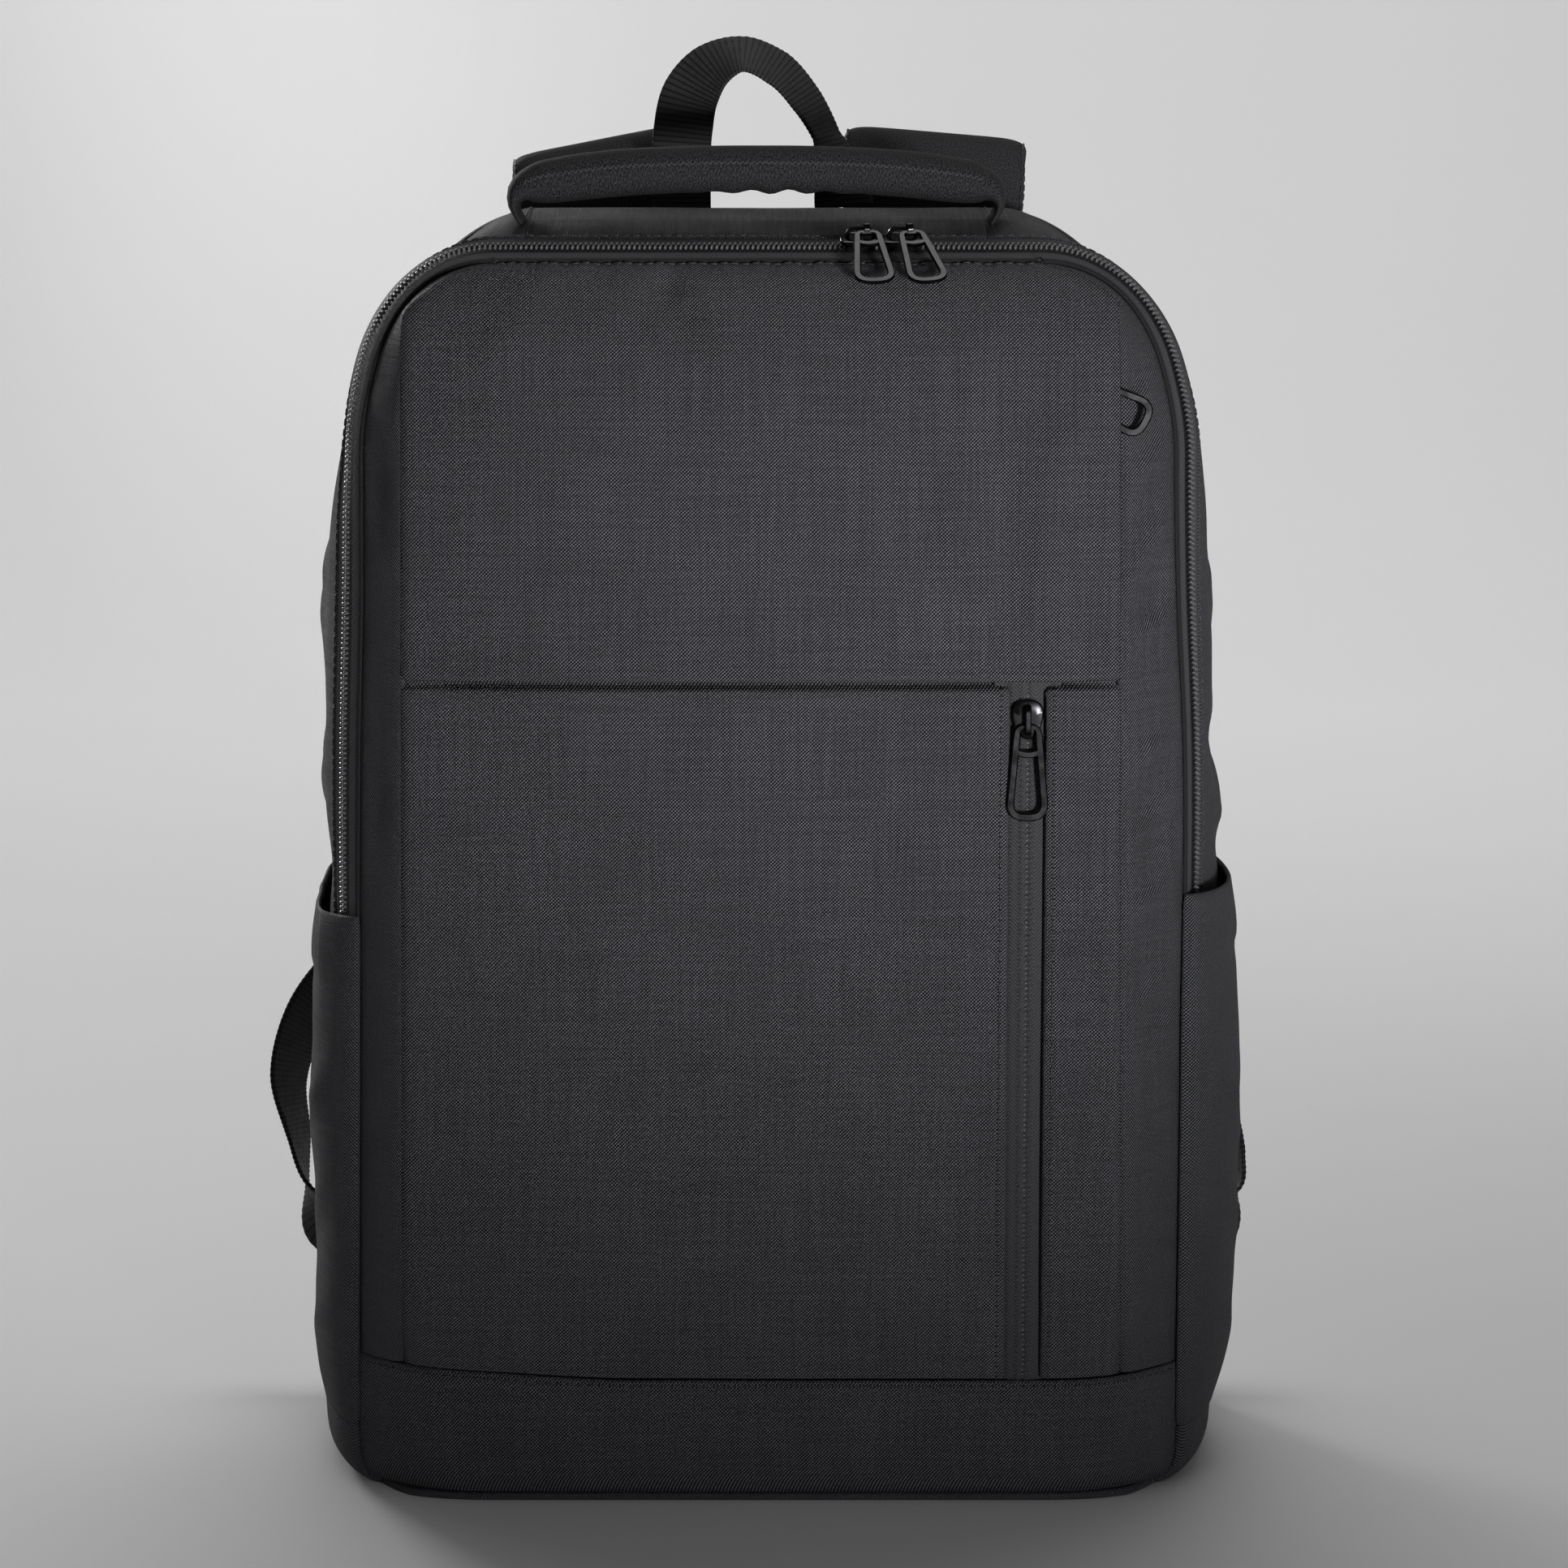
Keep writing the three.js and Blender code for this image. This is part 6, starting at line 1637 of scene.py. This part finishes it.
def corner_curves(corners, rounds, count):
    """Quadratic curves round the corners of a line in x and z, each cut back by its own round."""
    start, end = (corners + unit(np.roll(corners, step, axis=0) - corners) * rounds for step in (1, -1))
    t = np.linspace(0, 1, count)[None, :, None]
    return (1 - t) ** 2 * start[:, None] + 2 * t * (1 - t) * corners[:, None] + t ** 2 * end[:, None]


def pull_body(top, long, foot_round=PULL.foot_round, window=PULL.window):
    """A pull tab hanging from zero along -Z: a flat bar with cut corners round its tapered outline, broader
    at the foot, and a bowed cross bar that parts a small window from a large one."""
    rail, cut = PULL_FRAME.rail, PULL_FRAME.cut
    half = lambda z: (PULL.top_wide + (PULL.foot_wide - PULL.top_wide) * (top - z) / long) / 2 - rail / 2
    high, low = top - PULL_FRAME.bar / 2, top - long + PULL_FRAME.foot / 2
    corners = np.array([(-half(high), high), (-half(low), low), (half(low), low), (half(high), high)])
    rounds = np.array([[PULL.top_round], [foot_round], [foot_round], [PULL.top_round]])
    flat = corner_curves(corners, rounds, 14).reshape(-1, 2)
    flat = even_steps(np.concatenate([flat, flat[:1]]), PULL_STEP)[:-1]
    line = stacked(flat[:, 0], 0.0, flat[:, 1])
    way = unit(np.roll(line, -1, axis=0) - np.roll(line, 1, axis=0))
    wide = np.interp(flat[:, 1], [low, low + PULL_FRAME.foot_ease, high - PULL_FRAME.top_ease, high],
                     [PULL_FRAME.foot, rail, rail, PULL_FRAME.top]) / rail
    outline = bar(line, np.cross(Y_WAY, way) * wide[:, None], Y_WAY, rail, PULL.thick, cut, True)
    bar_z = top - PULL_FRAME.bar - window - PULL_FRAME.cross / 2
    t = np.linspace(-1, 1, 13)
    bowed = stacked(t * half(bar_z), 0.0, bar_z - PULL.bow * (1 - t * t) + PULL.bow_rise)
    return joined([outline, bar(bowed, Z_WAY, Y_WAY, PULL_FRAME.cross, PULL.thick * PULL.bar_share, cut)])


def eye_body():
    """The eye at the top of a main pull: a thick ring about X that hangs on the bail."""
    angle = np.linspace(0, 2 * np.pi, 36, endpoint=False)
    out = stacked(0.0, np.cos(angle), np.sin(angle))
    line = out * (EYE.outer + EYE.inner) / 2 - EYE.hang * Z_WAY
    return bar(line, X_WAY, out, EYE.wide, EYE.outer - EYE.inner, EYE.cut, True)


def plate_body(low, high, power, taper):
    """A slider's plate: a superellipse outline that tapers along X, with a rounded edge and a flat top."""
    x, y = superellipse(PLATE_POINTS, power, power)
    y = y * SLIDER.wide / 2 * (1 - taper * x)
    size, level = PLATE_SIZE[:, None], (PLATE_LEVEL * (high - low) + low)[:, None]
    return ring_body(stacked(size * x * SLIDER.long / 2, size * y, level))


def bail_body(foot, leg, high, low, wide, thick, round_by):
    """A bail bent from flat bar: its line in X and Z with rounded corners, the section's width along Y."""
    corners = np.array([(-foot, low), (-leg, high), (leg, high), (foot, low)])
    curves = corner_curves(corners, round_by, 9)[1:-1].reshape(-1, 2)
    flat = even_steps(np.concatenate([corners[:1], curves, corners[-1:]]), BAIL_STEP)
    line = stacked(flat[:, 0], 0.0, flat[:, 1])
    across = np.cross(Y_WAY, unit(np.gradient(line, axis=0)))
    return bar(line, across, Y_WAY, thick, wide, min(wide, thick) * 0.3)


def main_slider_body():
    """A main slider, the zip along X and out along Z: a plate, side flanges and a bail that spans its
    length."""
    low = COIL.tall + COIL.clear
    top = low + SLIDER.plate
    end = SLIDER.long / 2 - FLANGE.end
    t = np.linspace(-end, end, 16)
    parts = [plate_body(low, top, *MAIN_PLATE)]
    for side in SIDES.values():
        line = stacked(t, side * (SLIDER.wide / 2 - FLANGE.inset - FLANGE.slope * t), low - FLANGE.drop)
        parts.append(bar(line, Y_WAY, Z_WAY, FLANGE.wide, FLANGE.tall, FLANGE.cut))
    parts.append(bail_body(BAIL.leg_x + BAIL.splay, BAIL.leg_x, top + BAIL.rise, top - BAIL_SUNK, BAIL.wide,
                           BAIL.thick, BAIL.round))
    return joined(parts)


def front_slider_body():
    """The front slider, the zip along Z and out along -Y: a shield-shaped plate and an upright bail."""
    low = FRONT_ZIP.coil_tall + COIL.clear
    top = low + SLIDER.plate
    leg = ARCH.half - ARCH.leg / 2
    bail = bail_body(leg + ARCH.splay, leg, top + ARCH.clear + ARCH.crown / 2, top - BAIL_SUNK, ARCH.wide,
                     ARCH.crown, ARCH.round)
    points, faces = joined([plate_body(low - PLATE_SUNK, top, *FRONT_PLATE), bail])
    return points @ np.array([Z_WAY, X_WAY, -Y_WAY]), faces


def add_metal(name, node, body, matrix, seat, rides=BODY):
    """A slider or pull in place of a CAD node: a body turned by a matrix and moved to its seat, in
    gunmetal."""
    points, faces = body
    moved = points @ matrix.T + seat
    piece = add_piece(name, moved, outward_faces(moved, faces), crisp=True)
    dress(piece, gunmetal(), [node], rides)


class BACKPACK_OT_hardware(Operator):
    """Makes the zip sliders and pulls, and finishes the hidden slider and the strap adjusters."""
    bl_idname = "backpack.hardware"
    bl_label = "Sliders and pulls"

    def execute(self, context):
        upright = np.eye(3)
        slope = np.degrees(np.arctan2(TAPE_BACK["top"] - TAPE_FRONT["top"], TAPE_BACK_Y - TAPE_FRONT_Y))
        lie = turn(0, slope)
        hinge = COIL.tall + COIL.clear + SLIDER.plate + BAIL.rise
        tab = joined([pull_body(-EYE.drop, PULL.eye_long, window=EYE.window), eye_body()])
        for name, place in MAIN_SLIDERS.items():
            seat = np.array([place.x, COIL_Y, tape_outline(COIL_Y)["top"]])
            add_metal(f"slider_{name}", f"main_slider_{name}", main_slider_body(), lie, seat)
            hang = lie @ turn(2, place.lean) @ turn(0, MAIN_PULL_DROP - 90 - slope)
            seat = seat + lie @ np.array([place.pull_x, 0, hinge])
            add_metal(f"pull_{name}", f"main_pull_{name}", tab, hang, seat, f"main_pull_{name}")
        seat = np.array([FRONT_ZIP.x, FRONT_ZIP.tape_y, FRONT_ZIP.slider_z])
        add_metal("slider_front", "front_slider", front_slider_body(), upright, seat)
        rise = FRONT_ZIP.coil_tall + COIL.clear + SLIDER.plate + FRONT_ZIP.pull_rise
        seat = seat - [0, rise, FRONT_ZIP.pull_drop]
        add_metal("pull_front", "front_pull", pull_body(PULL_FRAME.bar / 2, PULL.long), upright, seat,
                  "front_pull")
        lean = np.radians(SIDE_PULL.turn)
        seat = np.array([SIDE_PULL.tip_x, SIDE_PULL.y, SIDE_PULL.z])
        seat = seat + PULL.long * np.array([-np.cos(lean), 0, np.sin(lean)])
        body = pull_body(0.0, PULL.long, SIDE_PULL.foot_round)
        add_metal("pull_side", "side_pull", body, turn(1, SIDE_PULL.turn - 90), seat)
        plastic = finish_named("adjuster_plastic", clouded, context.scene.backpack_zip.plastic, 2400.0, 3.0,
                               (0.8, 1.2), 0.5, (0.00006, 0.5))
        kept = dict(side_slider=gunmetal(), ladder_lock_left=plastic, ladder_lock_right=plastic)
        for name, material in kept.items():
            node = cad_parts[name]
            node.data.materials.clear()
            node.data.materials.append(material)
        return {"FINISHED"}


# Stage


class BACKPACK_OT_stage(Operator):
    """Sets the pale floor, the soft lights and the camera."""
    bl_idname = "backpack.stage"
    bl_label = "Stage"

    def execute(self, context):
        self.lay_floor(context.scene)
        self.set_lights(context.scene)
        self.set_camera(context.scene)
        return {"FINISHED"}

    def lay_floor(self, scene):
        """A flat floor that turns up behind the bag along a quarter of a circle."""
        angle = np.linspace(0, np.pi / 2, FLOOR.rows)[1:]
        y = FLOOR.flat_to + FLOOR.round * np.sin(angle)
        z = FLOOR.round - FLOOR.round * np.cos(angle)
        y = np.concatenate([[-FLOOR.half, FLOOR.flat_to], y, [FLOOR.flat_to + FLOOR.round]])
        z = np.concatenate([[0, 0], z, [FLOOR.half]])
        points = stacked(np.linspace(-FLOOR.half, FLOOR.half, 3), y[:, None], z[:, None])
        index = np.arange(len(y) * 3).reshape(-1, 3)
        floor = add_piece("floor", points.reshape(-1, 3), grid_faces(index)[:, ::-1])
        paper = finish_named("paper", clouded, scene.backpack_stage.floor, 3.0, 2.0, (0.985, 1.0), 0.7,
                             None, (0.2, 0.8), specular=0.2)
        floor.data.materials.append(paper)

    def set_lights(self, scene):
        """Four area lights, each with its power, place, aim, size and spread, and an even room light."""
        stage = scene.backpack_stage
        lights = (
            ("key", stage.key, (0.66, -1.72, 0.17), (0.05, -0.07, 0.32), 0.3, 0.38),
            ("fill", stage.fill, (-1.7, -1.3, 0.8), (0.0, 0.0, 0.2), 1.4, np.pi),
            ("rear", stage.rear, (0.0, 1.0, 2.4), (0.0, 2.4, 0.9), 1.6, np.pi),
            ("rim", stage.rim, (-1.0, 1.7, 0.7), (-0.15, 0.0, 0.28), 0.5, 0.5),
        )
        for name, power, place, aim, size, spread in lights:
            data = bpy.data.lights.new(name, "AREA")
            data.energy, data.size, data.spread = power, size, spread
            light = bpy.data.objects.new(name, data)
            light.location = place
            x, y, z = np.subtract(aim, place)
            light.rotation_euler = (np.arctan2(np.hypot(x, y), -z), 0, np.arctan2(-x, y))
            scene.collection.objects.link(light)
        scene.world = bpy.data.worlds.new("room")
        scene.world.use_nodes = True
        inputs = scene.world.node_tree.nodes["Background"].inputs
        inputs["Color"].default_value = (1, 1, 1, 1)
        inputs["Strength"].default_value = stage.room

    def set_camera(self, scene):
        """A camera on the bag's middle plane, looking down at its aim."""
        stage = scene.backpack_stage
        data = bpy.data.cameras.new("camera")
        data.lens = stage.lens
        data.sensor_width = 36.0
        camera = bpy.data.objects.new("camera", data)
        away = np.array([0.0, -np.cos(stage.elevation), np.sin(stage.elevation)])
        camera.location = np.array(stage.aim) + away * stage.distance
        camera.rotation_euler = (np.pi / 2 - stage.elevation, 0, 0)
        scene.collection.objects.link(camera)
        scene.camera = camera
        scene.view_settings.view_transform = "Standard"


OPERATORS = (
    BACKPACK_OT_front, BACKPACK_OT_facets, BACKPACK_OT_bottom, BACKPACK_OT_sides, BACKPACK_OT_pockets,
    BACKPACK_OT_pads, BACKPACK_OT_handle, BACKPACK_OT_webbing, BACKPACK_OT_main_zip, BACKPACK_OT_front_zip,
    BACKPACK_OT_hardware, BACKPACK_OT_stage,
)
GROUPS = dict(
    backpack_cloth=BackpackCloth, backpack_stitch=BackpackStitch, backpack_zip=BackpackZip,
    backpack_pads=BackpackPads, backpack_stage=BackpackStage,
)


class BACKPACK_PT_panel(Panel):
    """Lists the pieces of the bag and their settings."""
    bl_idname = "BACKPACK_PT_panel"
    bl_label = "Laptop backpack"
    bl_space_type = "VIEW_3D"
    bl_region_type = "UI"
    bl_category = "Backpack"

    def draw(self, context):
        for name, group in GROUPS.items():
            box = self.layout.box()
            for key in group.__annotations__:
                box.prop(getattr(context.scene, name), key)
        for operator in OPERATORS:
            self.layout.operator(operator.bl_idname)


def register():
    for made in (*GROUPS.values(), *OPERATORS, BACKPACK_PT_panel):
        bpy.utils.register_class(made)
    for name, group in GROUPS.items():
        setattr(bpy.types.Scene, name, PointerProperty(type=group))


def unregister():
    for name in GROUPS:
        delattr(bpy.types.Scene, name)
    for made in reversed((*GROUPS.values(), *OPERATORS, BACKPACK_PT_panel)):
        bpy.utils.unregister_class(made)


def main():
    register()
    bpy.ops.backpack.front()
    bpy.ops.backpack.facets()
    bpy.ops.backpack.bottom()
    bpy.ops.backpack.sides()
    bpy.ops.backpack.pockets()
    bpy.ops.backpack.pads()
    bpy.ops.backpack.handle()
    bpy.ops.backpack.webbing()
    bpy.ops.backpack.main_zip()
    bpy.ops.backpack.front_zip()
    bpy.ops.backpack.hardware()
    bpy.ops.backpack.stage()


if __name__ == "__main__":
    main()
